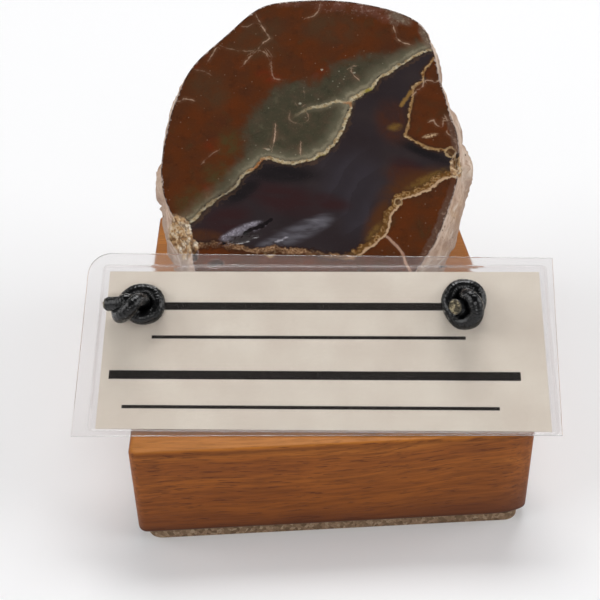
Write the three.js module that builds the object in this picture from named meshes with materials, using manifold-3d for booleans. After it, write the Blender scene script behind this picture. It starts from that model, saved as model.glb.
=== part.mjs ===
// A polished thunderegg on a small wood block, with a laminated card tied in front of it.
// Millimetres, +Z up, the front faces -Y, and the origin is the middle of the underside.
import * as THREE from 'three';
import { mergeVertices } from 'three/addons/utils/BufferGeometryUtils.js';
import Module from 'manifold-3d';

const wasm = await Module();
wasm.setup();

// Wood block and the cork sheet glued under it
const BLOCK_WIDTH = 56.4;
const BLOCK_DEPTH = 70;
const BLOCK_HEIGHT = 14.8;
const BLOCK_EDGE = 0.6; // eased by sanding
const BLOCK_CORNER = 1.4; // radius of the upright corners
const RUBBED_WIDTH = 6; // the front right corner is rubbed away in a long soft curve
const RUBBED_DEPTH = 1.1;
const PAD_THICKNESS = 1.4;
const PAD_INSET = 0.4;
const PAD_SIDE_INSET = 1.2;
const PAD_CORNER = 2.2;
const BLOCK_TOP = PAD_THICKNESS + BLOCK_HEIGHT;

// The card and the polished face lean back together. Their common frame has its origin at the paper's
// lower left corner, with u along the paper, v up its face and w out of it.
const CARD_CORNER = new THREE.Vector3(-32.9, -30.17, 17.11);
const CARD_TURN = -4.35; // degrees, the right end comes forward
const CARD_LEAN = 34.9; // degrees above level
const CARD_SKEW = -0.42; // degrees, in the card's own plane

const PAPER_WIDTH = 62.9;
const PAPER_HEIGHT = 23.9;
const PAPER_THICKNESS = 0.1;
const POCKET_GAP = 0.02; // left free round the paper
const CARD_THICKNESS = 0.5;
const FILM_GAP = 0.02; // between the two sheets
const FILM_LEFT = -3.3;
const FILM_RIGHT = 65;
const FILM_RIGHT_FOOT = 64.3;
const FILM_TOP = 26.9;
const FILM_TOP_RIGHT = 26.2;
const FILM_FOOT = -1.1;
const FILM_FOOT_RIGHT = -0.5;
const FILM_CORNER = 3.4; // only the upper left corner keeps the pouch's round corner
const HOLE_DIAMETER = 2.6;
const HOLES = [[5.6, 18.1], [51.8, 19]];

// Leather cord
const CORD_DIAMETER = 1.8;
const CORD_SIDES = 8;
const CORD_STEPS = 80;
const KNOT_GAP = 0.15; // between a knot and the card

// Stone: distances from the middle of the polished face
const FACE_CENTRE = [29, 44];
const FACE_GAP = 0.3; // between the card and the polished face
const GIRTH_DEPTH = 7; // the nodule is widest this far behind the face
const BACK_DEPTH = 25; // from there to the back
const FACE_OUTLINE = [
  [-1.7, 29.5], [-8, 28.3], [-13.6, 22.7], [-18.8, 16.5], [-21.1, 10.6], [-22.4, 3.8], [-22.8, -2.4],
  [-22.1, -7], [-20.6, -10.4], [-18.6, -12.8], [-17.4, -16.2], [-16.2, -20.6], [-12.4, -24.8],
  [-6.6, -27.4], [0.4, -28.2], [7.4, -26.8], [13.2, -23], [18.4, -16.5], [20.5, -11.8], [22.6, -5.4],
  [23.3, 0.8], [23.1, 3.6], [21.9, 8.8], [20.9, 13.3], [19.9, 19.5], [18, 24.6], [11.5, 28.1], [3.3, 29.6],
];
const AROUND = 100;
const ROWS = 26;

const degrees = THREE.MathUtils.degToRad;

const cardFrame = new THREE.Matrix4()
  .makeTranslation(CARD_CORNER)
  .multiply(new THREE.Matrix4().makeRotationZ(degrees(CARD_TURN)))
  .multiply(new THREE.Matrix4().makeRotationX(degrees(CARD_LEAN)))
  .multiply(new THREE.Matrix4().makeRotationZ(degrees(CARD_SKEW)));

function onCard(u, v, w) {
  return new THREE.Vector3(u, v, w).applyMatrix4(cardFrame);
}

function solidOf(geometry) {
  const bare = geometry.clone();
  for (const name of Object.keys(bare.attributes)) {
    if (name !== 'position') bare.deleteAttribute(name);
  }
  const merged = mergeVertices(bare, 1e-5);
  return new wasm.Manifold(new wasm.Mesh({
    numProp: 3,
    vertProperties: new Float32Array(merged.attributes.position.array),
    triVerts: new Uint32Array(merged.index.array),
  }));
}

function geometryOf(solid) {
  const mesh = solid.getMesh();
  const geometry = new THREE.BufferGeometry();
  geometry.setAttribute('position', new THREE.BufferAttribute(mesh.vertProperties, 3));
  geometry.setIndex(new THREE.BufferAttribute(mesh.triVerts, 1));
  geometry.computeVertexNormals();
  return geometry;
}

function piece(name, geometry, look) {
  const mesh = new THREE.Mesh(geometry, new THREE.MeshStandardMaterial(look));
  mesh.name = name;
  return mesh;
}

// A block's outline seen from above, with round corners and the rubbed front right corner
function blockOutline() {
  const x = BLOCK_WIDTH / 2;
  const y = BLOCK_DEPTH / 2;
  const r = BLOCK_CORNER;
  const shape = new THREE.Shape();
  shape.moveTo(-x + r, -y);
  shape.lineTo(x - RUBBED_WIDTH, -y);
  shape.quadraticCurveTo(x - 1.6 * r, -y, x - 0.4 * r, -y + RUBBED_DEPTH);
  shape.quadraticCurveTo(x, -y + RUBBED_DEPTH + 0.3 * r, x, -y + RUBBED_DEPTH + 1.2 * r);
  shape.lineTo(x, y - r);
  shape.absarc(x - r, y - r, r, 0, Math.PI / 2);
  shape.lineTo(-x + r, y);
  shape.absarc(-x + r, y - r, r, Math.PI / 2, Math.PI);
  shape.lineTo(-x, -y + r);
  shape.absarc(-x + r, -y + r, r, Math.PI, 1.5 * Math.PI);
  return shape;
}

function base() {
  const geometry = new THREE.ExtrudeGeometry(blockOutline(), {
    depth: BLOCK_HEIGHT - 2 * BLOCK_EDGE,
    bevelThickness: BLOCK_EDGE,
    bevelSize: BLOCK_EDGE,
    bevelOffset: -BLOCK_EDGE,
    bevelSegments: 3,
    curveSegments: 5,
  });
  const mesh = piece('base', geometry, { color: 0x85522b, roughness: 0.45, metalness: 0 });
  mesh.position.z = PAD_THICKNESS + BLOCK_EDGE;
  return mesh;
}

function roundedRectangle(x0, y0, x1, y1, radii) {
  const [lowerLeft, lowerRight, upperRight, upperLeft] = radii;
  const shape = new THREE.Shape();
  shape.moveTo(x0 + lowerLeft, y0);
  shape.lineTo(x1 - lowerRight, y0);
  shape.absarc(x1 - lowerRight, y0 + lowerRight, lowerRight, -Math.PI / 2, 0);
  shape.lineTo(x1, y1 - upperRight);
  shape.absarc(x1 - upperRight, y1 - upperRight, upperRight, 0, Math.PI / 2);
  shape.lineTo(x0 + upperLeft, y1);
  shape.absarc(x0 + upperLeft, y1 - upperLeft, upperLeft, Math.PI / 2, Math.PI);
  shape.lineTo(x0, y0 + lowerLeft);
  shape.absarc(x0 + lowerLeft, y0 + lowerLeft, lowerLeft, Math.PI, 1.5 * Math.PI);
  return shape;
}

function basePad() {
  const x = BLOCK_WIDTH / 2 - PAD_SIDE_INSET;
  const y = BLOCK_DEPTH / 2 - PAD_INSET;
  const outline = roundedRectangle(-x, -y, x, y, [PAD_CORNER, PAD_CORNER, PAD_CORNER, PAD_CORNER]);
  const geometry = new THREE.ExtrudeGeometry(outline, {
    depth: PAD_THICKNESS,
    bevelEnabled: false,
    curveSegments: 5,
  });
  return piece('base_pad', geometry, { color: 0xa08c6c, roughness: 0.95, metalness: 0 });
}

// Smooth noise between -1 and 1, from a hash of the whole-number points round the place
function hash(i, j, k) {
  const s = Math.sin(i * 127.1 + j * 311.7 + k * 74.7) * 43758.5453;
  return 2 * (s - Math.floor(s)) - 1;
}

function noise(x, y, z) {
  const [i, j, k] = [Math.floor(x), Math.floor(y), Math.floor(z)];
  const ease = (t) => t * t * (3 - 2 * t);
  const [a, b, c] = [ease(x - i), ease(y - j), ease(z - k)];
  const mix = THREE.MathUtils.lerp;
  const edge = (dj, dk) => mix(hash(i, j + dj, k + dk), hash(i + 1, j + dj, k + dk), a);
  return mix(mix(edge(0, 0), edge(1, 0), b), mix(edge(0, 1), edge(1, 1), b), c);
}

// How far the rind stands out from the plain nodule at a point: broad lumps, smaller knobs and pits.
// Near the polished cut it stays close to the measured outline.
function rindRelief(p, depth) {
  const lumps = 0.85 * noise(p.x / 9, p.y / 9, p.z / 9);
  const knobs = 0.6 * noise(p.x / 3.8 + 20, p.y / 3.8, p.z / 3.8);
  const pitted = noise(p.x / 2.8, p.y / 2.8 + 40, p.z / 2.8);
  const pits = -1.1 * Math.max(0, pitted - 0.4);
  return (lumps + knobs + pits) * THREE.MathUtils.smoothstep(depth, -1, 4.5);
}

// The nodule bulges to the right and at its lower left, and is hollow between that and the left flake:
// angle round the face, half spread, height
const BULGES = [
  { towards: -13, spread: 62, height: 1.4 },
  { towards: 219, spread: 24, height: 1.9 },
  { towards: 197, spread: 15, height: -0.9 },
];
const BULGE_RISE = 4; // depth behind the cut at which a bulge is full
const BULGE_FALL = 12;
const BULGE_END = 24;

function bulgeHeight(angle, depth) {
  const { euclideanModulo, smoothstep } = THREE.MathUtils;
  const reach = smoothstep(depth, 0, BULGE_RISE) * (1 - smoothstep(depth, BULGE_FALL, BULGE_END));
  let height = 0;
  for (const bulge of BULGES) {
    const off = Math.abs(euclideanModulo(angle - bulge.towards + 180, 360) - 180);
    if (off < bulge.spread) height += bulge.height * Math.cos((off / bulge.spread) * (Math.PI / 2)) ** 2;
  }
  return height * reach;
}

// Flakes of the outer shell still stand proud behind the cut, each ending in small ledges:
// the angles between which it lies, the depths between which it lies, and its height
const FLAKES = [
  { from: -9, to: 7.5, start: 2, end: 8.5, height: 0.75 },
  { from: 9, to: 27, start: 2.6, end: 9.5, height: 0.6 },
  { from: 34, to: 66, start: 4, end: 12, height: 0.5 },
  { from: 166, to: 195, start: 1.2, end: 6.3, height: 0.85 },
  { from: 250, to: 290, start: 5, end: 12, height: 0.55 },
];

function flakeHeight(angle, depth) {
  let height = 0;
  for (const flake of FLAKES) {
    const along = THREE.MathUtils.euclideanModulo(angle - flake.from, 360) / (flake.to - flake.from);
    const inside = along < 1 && depth > flake.start && depth < flake.end;
    if (inside) height += flake.height * Math.min(1, 9 * (1 - along), 9 * along);
  }
  return height;
}

// The whole nodule as rings behind one another, from a little in front of the cut to the back
function noduleGeometry() {
  const outline = new THREE.CatmullRomCurve3(
    FACE_OUTLINE.map(([u, v]) => new THREE.Vector3(u, v, 0)),
    true,
    'centripetal',
  ).getSpacedPoints(AROUND).slice(0, AROUND);
  const swell = 1 / Math.sqrt(1 - (GIRTH_DEPTH / BACK_DEPTH) ** 2);
  const first = -Math.asin((GIRTH_DEPTH + 1) / BACK_DEPTH);
  const centre = new THREE.Vector3(0, 0, -GIRTH_DEPTH);
  const points = [];
  for (let row = 0; row < ROWS; row += 1) {
    const turn = THREE.MathUtils.lerp(first, Math.PI / 2, row / ROWS);
    const depth = GIRTH_DEPTH + BACK_DEPTH * Math.sin(turn);
    for (const rim of outline) {
      const p = new THREE.Vector3(rim.x, rim.y, 0).multiplyScalar(swell * Math.cos(turn)).setZ(-depth);
      const out = p.clone().sub(centre).normalize();
      const angle = THREE.MathUtils.radToDeg(Math.atan2(rim.y, rim.x));
      const height = rindRelief(p, depth) + bulgeHeight(angle, depth) + flakeHeight(angle, depth);
      points.push(p.addScaledVector(out, height));
    }
  }
  points.push(new THREE.Vector3(0, 0, -GIRTH_DEPTH - BACK_DEPTH), new THREE.Vector3(0, 0, 1));
  const faces = [];
  const back = ROWS * AROUND;
  const front = back + 1;
  for (let i = 0; i < AROUND; i += 1) {
    const next = (i + 1) % AROUND;
    faces.push(front, i, next);
    for (let row = 0; row < ROWS - 1; row += 1) {
      const a = row * AROUND;
      const b = a + AROUND;
      faces.push(a + i, b + i, b + next, a + i, b + next, a + next);
    }
    faces.push((ROWS - 1) * AROUND + i, back, (ROWS - 1) * AROUND + next);
  }
  const geometry = new THREE.BufferGeometry().setFromPoints(points);
  geometry.setIndex(faces);
  return geometry;
}

// Hollows in the polished face, measured from its middle: the open druse and the crumbly lower left corner
const HOLLOWS = [
  { at: [-9.6, -14.2], size: [3.6, 1.15], depth: 0.9, turn: 14 },
  { at: [-4.6, -12.6], size: [1.5, 0.7], depth: 0.6, turn: 20 },
  { at: [-19.6, -13.6], size: [1.7, 1.2], depth: 1.1, turn: 50 },
  { at: [-17.4, -16.6], size: [1.5, 1], depth: 0.9, turn: 110 },
  { at: [-13.6, -18.6], size: [1.3, 0.6], depth: 0.7, turn: 5 },
  { at: [23.2, -1.4], size: [0.9, 1.5], depth: 1.3, turn: 0 },
];

function hollowGeometry({ at, size, depth, turn }) {
  const geometry = new THREE.SphereGeometry(1, 12, 8);
  const position = geometry.attributes.position;
  for (let i = 0; i < position.count; i += 1) {
    const p = new THREE.Vector3().fromBufferAttribute(position, i);
    p.multiplyScalar(1 + 0.22 * noise(p.x * 1.7 + at[0], p.y * 1.7 + at[1], p.z * 1.7));
    position.setXYZ(i, p.x, p.y, p.z);
  }
  geometry.scale(size[0], size[1], depth);
  geometry.rotateZ(degrees(turn));
  geometry.translate(at[0], at[1], 0);
  return geometry;
}

function thunderegg() {
  const faceFrame = cardFrame.clone().multiply(
    new THREE.Matrix4().makeTranslation(...FACE_CENTRE, -CARD_THICKNESS / 2 - FACE_GAP),
  );
  const inPlace = (geometry) => solidOf(geometry.applyMatrix4(faceFrame));
  const sawn = inPlace(new THREE.BoxGeometry(90, 90, 20).translate(0, 0, 10));
  const seat = solidOf(new THREE.BoxGeometry(120, 120, 40).translate(0, 0, BLOCK_TOP - 20));
  let stone = inPlace(noduleGeometry()).subtract(sawn).subtract(seat);
  for (const hollow of HOLLOWS) stone = stone.subtract(inPlace(hollowGeometry(hollow)));
  return piece('thunderegg', geometryOf(stone), { color: 0x4c2d20, roughness: 0.35, metalness: 0 });
}

function holePath([u, v]) {
  return new THREE.Path().absarc(u, v, HOLE_DIAMETER / 2, 0, 2 * Math.PI, true);
}

function filmOutline() {
  const shape = new THREE.Shape();
  shape.moveTo(FILM_LEFT, FILM_FOOT);
  shape.lineTo(FILM_RIGHT_FOOT, FILM_FOOT_RIGHT);
  shape.lineTo(FILM_RIGHT, FILM_TOP_RIGHT);
  shape.lineTo(FILM_LEFT + FILM_CORNER, FILM_TOP);
  shape.absarc(FILM_LEFT + FILM_CORNER, FILM_TOP - FILM_CORNER, FILM_CORNER, Math.PI / 2, Math.PI);
  return shape;
}

// One sheet of the pouch: thick where the two sheets are fused, with a shallow pocket over the paper.
// The sheet is built with its pocket facing +w, and the side says which way it faces in the card.
function filmGeometry(side) {
  const half = (CARD_THICKNESS - FILM_GAP) / 2;
  const pocket = PAPER_THICKNESS / 2 + POCKET_GAP - FILM_GAP / 2;
  const sheet = filmOutline();
  sheet.holes = HOLES.map(holePath);
  const outer = new THREE.ExtrudeGeometry(sheet, { depth: half, bevelEnabled: false, curveSegments: 8 });
  const recess = new THREE.BoxGeometry(PAPER_WIDTH + 2 * POCKET_GAP, PAPER_HEIGHT + 2 * POCKET_GAP, 2 * pocket);
  recess.translate(PAPER_WIDTH / 2, PAPER_HEIGHT / 2, side > 0 ? 0 : half);
  const film = geometryOf(solidOf(outer).subtract(solidOf(recess)));
  film.translate(0, 0, side > 0 ? FILM_GAP / 2 : -half - FILM_GAP / 2);
  return film;
}

function card() {
  const clear = { color: 0xf2f1f4, roughness: 0.08, metalness: 0 };
  const paper = new THREE.Shape([
    new THREE.Vector2(0, 0),
    new THREE.Vector2(PAPER_WIDTH, 0),
    new THREE.Vector2(PAPER_WIDTH, PAPER_HEIGHT),
    new THREE.Vector2(0, PAPER_HEIGHT),
  ]);
  paper.holes = HOLES.map(holePath);
  const sheet = new THREE.ExtrudeGeometry(paper, {
    depth: PAPER_THICKNESS,
    bevelEnabled: false,
    curveSegments: 8,
  });
  sheet.translate(0, 0, -PAPER_THICKNESS / 2);
  const group = new THREE.Group();
  group.applyMatrix4(cardFrame);
  group.add(
    piece('tag_film_front', filmGeometry(1), clear),
    piece('tag_paper', sheet, { color: 0xd5c9bc, roughness: 0.85, metalness: 0 }),
    piece('tag_film_back', filmGeometry(-1), clear),
  );
  return group;
}

// An overhand knot in front of a hole: distance from the hole's axis, angle from the bridge (clockwise)
// and height above the card. The cord rises through the hole, bridges outwards, makes a ring round itself,
// slips under its own bridge and leaves over the ring's beginning.
const KNOT = [
  [0, 0, -2.2], [0, 0, -0.8], [0.1, 180, 0.6], [0.15, 180, 2], [0.5, 0, 3.3], [1.7, -8, 3.9], [3, -4, 3.35],
  [3.7, 10, 2.1], [3.5, 32, 1], [2.75, 66, 0.9], [2.3, 108, 0.9], [2.15, 150, 0.9], [2.1, 190, 0.9],
  [2.1, 230, 0.9], [2.05, 270, 0.9], [2, 310, 0.95], [1.95, 345, 1.15], [1.9, 376, 1.7], [2.1, 402, 2.6],
];
const LONG_TAIL = [[3, 420, 2.95], [4.3, 424, 2.6], [5.5, 425, 2.1]];
const SHORT_TAIL = [[2.9, 420, 2.95], [3.3, 424, 2.9]];

function knotPoints([u, v], bridgeAngle, tail) {
  return [...KNOT, ...tail].map(([radius, angle, height]) => {
    const turn = degrees(bridgeAngle - angle);
    const lift = CARD_THICKNESS / 2 + KNOT_GAP + height;
    return onCard(u + radius * Math.cos(turn), v + radius * Math.sin(turn), lift);
  });
}

// From behind the left hole down to the block, round the stone's foot and up to the right hole
const BEHIND_STONE = [
  [-25.4, -11.4, 22.3], [-24, -8, 19.4], [-22.2, -4.4, 17.7], [-20.8, 0.4, 17.2], [-19.7, 5, 17.2],
  [-19, 10, 17.2], [-18, 15, 17.2], [-15.7, 19.9, 17.2], [-12, 24, 17.2], [-6.6, 27, 17.2], [0, 27.8, 17.2],
  [6.2, 26.8, 17.2], [11.6, 23.6, 17.2], [15.2, 19, 17.2], [17.4, 13.6, 17.2], [19.1, 8, 17.2],
  [20.2, 2.4, 17.2], [21, -3.4, 17.6], [21.3, -8.6, 19.2], [21, -12.6, 21.7],
];

// Its steps follow the list of points, which lie closer together in the knots
class CordPath extends THREE.CatmullRomCurve3 {
  getPointAt(t, target) {
    return this.getPoint(t, target);
  }

  getTangentAt(t, target) {
    return this.getTangent(t, target);
  }
}

function cord() {
  const route = new CordPath([
    ...knotPoints(HOLES[0], 225, LONG_TAIL).reverse(),
    ...BEHIND_STONE.map((point) => new THREE.Vector3(...point)),
    ...knotPoints(HOLES[1], 290, SHORT_TAIL),
  ], false, 'centripetal');
  const section = new THREE.Shape().absarc(0, 0, CORD_DIAMETER / 2, 0, 2 * Math.PI);
  const geometry = new THREE.ExtrudeGeometry(section, {
    steps: CORD_STEPS,
    curveSegments: CORD_SIDES / 2,
    extrudePath: route,
  });
  return piece('cord', geometry, { color: 0x141416, roughness: 0.4, metalness: 0 });
}

const object = new THREE.Group();
object.add(base(), basePad(), thunderegg(), card(), cord());

export default object;
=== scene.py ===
# A polished thunderegg on a small wood block, with a laminated card tied in front of it.
# The object's shapes are worked out in millimetres, in the CAD model's own frame, and made in metres.
import math

import bmesh
import bpy
import numpy as np
from mathutils import Matrix, Vector
from mathutils.geometry import delaunay_2d_cdt


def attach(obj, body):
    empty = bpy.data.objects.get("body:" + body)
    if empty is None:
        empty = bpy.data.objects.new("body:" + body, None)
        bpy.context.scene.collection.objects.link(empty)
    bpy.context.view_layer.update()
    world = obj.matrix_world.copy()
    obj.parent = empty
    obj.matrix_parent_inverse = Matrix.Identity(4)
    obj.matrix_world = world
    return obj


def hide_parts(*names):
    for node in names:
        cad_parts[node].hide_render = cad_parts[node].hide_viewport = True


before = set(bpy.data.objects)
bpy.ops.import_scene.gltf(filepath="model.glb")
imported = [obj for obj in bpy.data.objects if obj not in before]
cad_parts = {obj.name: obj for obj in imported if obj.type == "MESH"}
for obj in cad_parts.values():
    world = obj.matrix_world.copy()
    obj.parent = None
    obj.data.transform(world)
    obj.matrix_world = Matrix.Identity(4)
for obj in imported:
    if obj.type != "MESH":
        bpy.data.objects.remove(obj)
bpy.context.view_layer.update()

BODY = "root"
MM = 0.001

# Sizes shared with the CAD model

BLOCK_WIDTH = 56.4
BLOCK_DEPTH = 70
BLOCK_HEIGHT = 14.8
BLOCK_EDGE = 0.6
BLOCK_CORNER = 1.4
RUBBED_WIDTH = 6
RUBBED_DEPTH = 1.1
PAD_THICKNESS = 1.4
BLOCK_TOP = PAD_THICKNESS + BLOCK_HEIGHT

CARD_CORNER = Vector((-32.9, -30.17, 17.11))
CARD_TURN = -4.35
CARD_LEAN = 34.9
CARD_SKEW = -0.42
PAPER_WIDTH = 62.9
PAPER_HEIGHT = 23.9
PAPER_THICKNESS = 0.1
POCKET_GAP = 0.02
CARD_THICKNESS = 0.5
FILM_LEFT = -3.3
FILM_RIGHT = 65
FILM_RIGHT_FOOT = 64.3
FILM_TOP = 26.9
FILM_TOP_RIGHT = 26.2
FILM_FOOT = -1.1
FILM_FOOT_RIGHT = -0.5
FILM_CORNER = 3.4
HOLE_DIAMETER = 2.6
LEFT_HOLE = (5.6, 18.1)
RIGHT_HOLE = (51.8, 19)

CORD_DIAMETER = 1.8
KNOT_GAP = 0.15

FACE_CENTRE = (29, 44)
FACE_GAP = 0.3
GIRTH_DEPTH = 7
BACK_DEPTH = 25
FACE_OUTLINE = [
    (-1.7, 29.5), (-8, 28.3), (-13.6, 22.7), (-18.8, 16.5), (-21.1, 10.6), (-22.4, 3.8), (-22.8, -2.4),
    (-22.1, -7), (-20.6, -10.4), (-18.6, -12.8), (-17.4, -16.2), (-16.2, -20.6), (-12.4, -24.8),
    (-6.6, -27.4), (0.4, -28.2), (7.4, -26.8), (13.2, -23), (18.4, -16.5), (20.5, -11.8), (22.6, -5.4),
    (23.3, 0.8), (23.1, 3.6), (21.9, 8.8), (20.9, 13.3), (19.9, 19.5), (18, 24.6), (11.5, 28.1), (3.3, 29.6),
]


def turned(degrees, axis):
    """A turn about one axis."""
    return Matrix.Rotation(math.radians(degrees), 4, axis)


CARD_FRAME = (
    Matrix.Translation(CARD_CORNER) @ turned(CARD_TURN, "Z") @ turned(CARD_LEAN, "X") @ turned(CARD_SKEW, "Z")
)
FACE_FRAME = CARD_FRAME @ Matrix.Translation((*FACE_CENTRE, -CARD_THICKNESS / 2 - FACE_GAP))


# Camera

CAMERA_PLACE = Vector((-8.22, -141.47, 107.66))
CAMERA_DOWN = 32.473
CAMERA_RIGHT = 2.159
CAMERA_ROLL = 1.431
CAMERA_LENS = 61.2
SENSOR_WIDTH = 36
NEAREST_SEEN = 0.005

down = math.radians(CAMERA_DOWN)
right = math.radians(CAMERA_RIGHT)
ahead = Vector((math.sin(right) * math.cos(down), math.cos(right) * math.cos(down), -math.sin(down)))
level = Vector((math.cos(right), -math.sin(right), 0))
upright = level.cross(ahead)
roll = math.radians(CAMERA_ROLL)
across = level * math.cos(roll) - upright * math.sin(roll)
above = level * math.sin(roll) + upright * math.cos(roll)

camera_data = bpy.data.cameras.new("camera")
camera_data.lens = CAMERA_LENS
camera_data.sensor_width = SENSOR_WIDTH
camera_data.clip_start = NEAREST_SEEN
camera = bpy.data.objects.new("camera", camera_data)
camera_turn = Matrix((across, above, -ahead)).transposed().to_4x4()
camera.matrix_world = Matrix.Translation(CAMERA_PLACE * MM) @ camera_turn
bpy.context.scene.collection.objects.link(camera)
bpy.context.scene.camera = camera


# Finishes

def linear(colour):
    """The linear red, green and blue of an sRGB hex colour."""
    parts = [int(colour[i:i + 2], 16) / 255 for i in (1, 3, 5)]
    return (*(p / 12.92 if p <= 0.04045 else ((p + 0.055) / 1.055) ** 2.4 for p in parts), 1)


def per_mm(size):
    """How often a pattern of this size in millimetres repeats in a metre."""
    return 1 / (size * MM)


class Finish:
    """A material made of nodes, added one at a time. Where inputs go by number, a MapRange takes its value
    at 0, the range at 1 and 2 and what that becomes at 3 and 4, and a colour Mix its share at 0 and the
    two colours at 6 and 7."""

    def __init__(self, name):
        self.material = bpy.data.materials.new(name)
        self.material.use_nodes = True
        self.tree = self.material.node_tree
        self.tree.nodes.clear()

    def add(self, kind, inputs=None, out=None, stops=None, **settings):
        """Adds a node with its settings, and its inputs as values, hex colours or links. Gives its output."""
        made = self.tree.nodes.new("ShaderNode" + kind)
        for name, value in settings.items():
            setattr(made, name, value)
        for stop, (place, colour) in enumerate(stops or []):
            ramp = made.color_ramp.elements
            element = ramp[stop] if stop < 2 else ramp.new(place)
            element.position = place
            element.color = linear(colour)
        for key, value in (inputs or {}).items():
            if isinstance(value, bpy.types.NodeSocket):
                self.tree.links.new(value, made.inputs[key])
            elif isinstance(value, str):
                made.inputs[key].default_value = linear(value)
            else:
                made.inputs[key].default_value = value
        if out:
            return made.outputs[out]
        return next((socket for socket in made.outputs if socket.enabled), None)


def show(finish, shader):
    """Ends a material in its shader and gives the material."""
    finish.add("OutputMaterial", {"Surface": shader})
    return finish.material


# Shapes

def smooth_curve(points, steps, closed=False):
    """A centripetal Catmull-Rom curve through the points, as the CAD model draws it."""
    count = len(points)
    vectors = [Vector(point) for point in points]
    places = []
    for i in range(count if closed else count - 1):
        p1 = vectors[i]
        p2 = vectors[(i + 1) % count]
        p0 = vectors[i - 1] if closed or i else 2 * p1 - p2
        p3 = vectors[(i + 2) % count] if closed or i + 2 < count else 2 * p2 - p1
        d0, d1, d2 = (max((b - a).length_squared ** 0.25, 1e-6) for a, b in ((p0, p1), (p1, p2), (p2, p3)))
        t1 = ((p1 - p0) / d0 - (p2 - p0) / (d0 + d1) + (p2 - p1) / d1) * d1
        t2 = ((p2 - p1) / d1 - (p3 - p1) / (d1 + d2) + (p3 - p2) / d2) * d1
        for step in range(steps):
            t = step / steps
            places.append(p1 + t * (t1 + t * (3 * (p2 - p1) - 2 * t1 - t2 + t * (2 * (p1 - p2) + t1 + t2))))
    if not closed:
        places.append(vectors[-1])
    return places


def spaced(places, count, closed=False):
    """Points at equal distances along a chain of points."""
    chain = np.array([list(place) for place in places])
    if closed:
        chain = np.vstack([chain, chain[:1]])
    run = np.concatenate([[0], np.cumsum(np.linalg.norm(np.diff(chain, axis=0), axis=1))])
    wanted = np.linspace(0, run[-1], count, endpoint=not closed)
    return np.column_stack([np.interp(wanted, run, chain[:, axis]) for axis in range(chain.shape[1])])


def placed(points, matrix):
    """Points in millimetres in some frame, as points in metres in the model's frame."""
    turn = np.array(matrix.to_3x3())
    return (np.asarray(points, float) @ turn.T + np.array(matrix.translation)) * MM


def piece(name, points, faces, nodes, materials):
    """Makes a smooth-shaded piece from its points, in metres, and its faces."""
    mesh = bpy.data.meshes.new(name)
    mesh.from_pydata([tuple(point) for point in points], [], faces)
    mesh.validate()
    for material in materials:
        mesh.materials.append(material)
    mesh.polygons.foreach_set("use_smooth", [True] * len(mesh.polygons))
    thing = bpy.data.objects.new(name, mesh)
    bpy.context.scene.collection.objects.link(thing)
    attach(thing, BODY)
    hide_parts(*nodes)
    return thing


def dress(node, material):
    """Gives a CAD node's own object a better material."""
    slots = bpy.data.objects[node].data.materials
    slots.clear()
    slots.append(material)


def arc(middle, radius, first, steps):
    """A quarter circle from an angle in degrees, counterclockwise."""
    angles = [math.radians(first + 90 * i / steps) for i in range(steps + 1)]
    return [(middle[0] + radius * math.cos(angle), middle[1] + radius * math.sin(angle)) for angle in angles]


def between(first, second, count):
    """The faces between two rings of points, each given by the number of its first point."""
    pairs = [(i, (i + 1) % count) for i in range(count)]
    return [(first + i, first + k, second + k, second + i) for i, k in pairs]


def outwards(thing):
    """Turns all faces of a closed mesh to look out of it."""
    made = bmesh.new()
    made.from_mesh(thing.data)
    bmesh.ops.recalc_face_normals(made, faces=made.faces)
    made.to_mesh(thing.data)
    made.free()


# Cord

# A knot round its hole: distance from the middle, angle back from the bridge, height over the film
KNOT = [
    (0, 0, -2.2), (0, 0, -0.8), (0.1, 180, 0.6), (0.15, 180, 2), (0.5, 0, 3.3), (1.7, -8, 3.9), (3, -4, 3.35),
    (3.7, 10, 2.1), (3.5, 32, 1), (2.75, 66, 0.9), (2.3, 108, 0.9), (2.15, 150, 0.9), (2.1, 190, 0.9),
    (2.1, 230, 0.9), (2.05, 270, 0.9), (2, 310, 0.95), (1.95, 345, 1.15), (1.9, 376, 1.7), (2.1, 402, 2.6),
]
LONG_TAIL = [(3, 396, 2.5), (4.1, 400, 2.0), (5.3, 404, 1.5)]
SHORT_TAIL = [(2.4, 416, 3.05), (2.9, 421, 3.5)]
# The way from one hole to the other, round the stone's foot on the block
BEHIND_STONE = [
    (-25.4, -11.4, 22.3), (-24, -8, 19.4), (-22.2, -4.4, 17.7), (-20.8, 0.4, 17.2), (-19.7, 5, 17.2),
    (-19, 10, 17.2), (-18, 15, 17.2), (-15.7, 19.9, 17.2), (-12, 24, 17.2), (-6.6, 27, 17.2), (0, 27.8, 17.2),
    (6.2, 26.8, 17.2), (11.6, 23.6, 17.2), (15.2, 19, 17.2), (17.4, 13.6, 17.2), (19.1, 8, 17.2),
    (20.2, 2.4, 17.2), (21, -3.4, 17.6), (21.3, -8.6, 19.2), (21, -12.6, 21.7),
]
CORD_SIDES = 28
CORD_STEPS = 16
LEFT_BRIDGE = 225  # degrees, the way each knot's bridge points on the card
RIGHT_BRIDGE = 290
LACE_SPARE = 0.05  # the lace's radius is this much more than the CAD cord's
KNOT_SWELL = 0.15  # and this much more again in the knots, from 7 to 4 mm from their middles
KNOT_REACH = 7
KNOT_EASE = 3
KNOT_MIDDLE = 2  # height of a knot's middle above the card
END_STEPS = 5  # the lace thins towards its cut ends over this many steps
END_TAPER = 0.05
END_FADE = 0.15  # how fast the raw colour fades from a cut end, for each step


def knot_points(hole, bridge_angle, tail):
    """An overhand knot in front of a hole, out to the end of its tail."""
    points = []
    for radius, angle, height in KNOT + tail:
        turn = math.radians(bridge_angle - angle)
        place = (
            hole[0] + radius * math.cos(turn),
            hole[1] + radius * math.sin(turn),
            CARD_THICKNESS / 2 + KNOT_GAP + height,
        )
        points.append(CARD_FRAME @ Vector(place))
    return points


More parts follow.
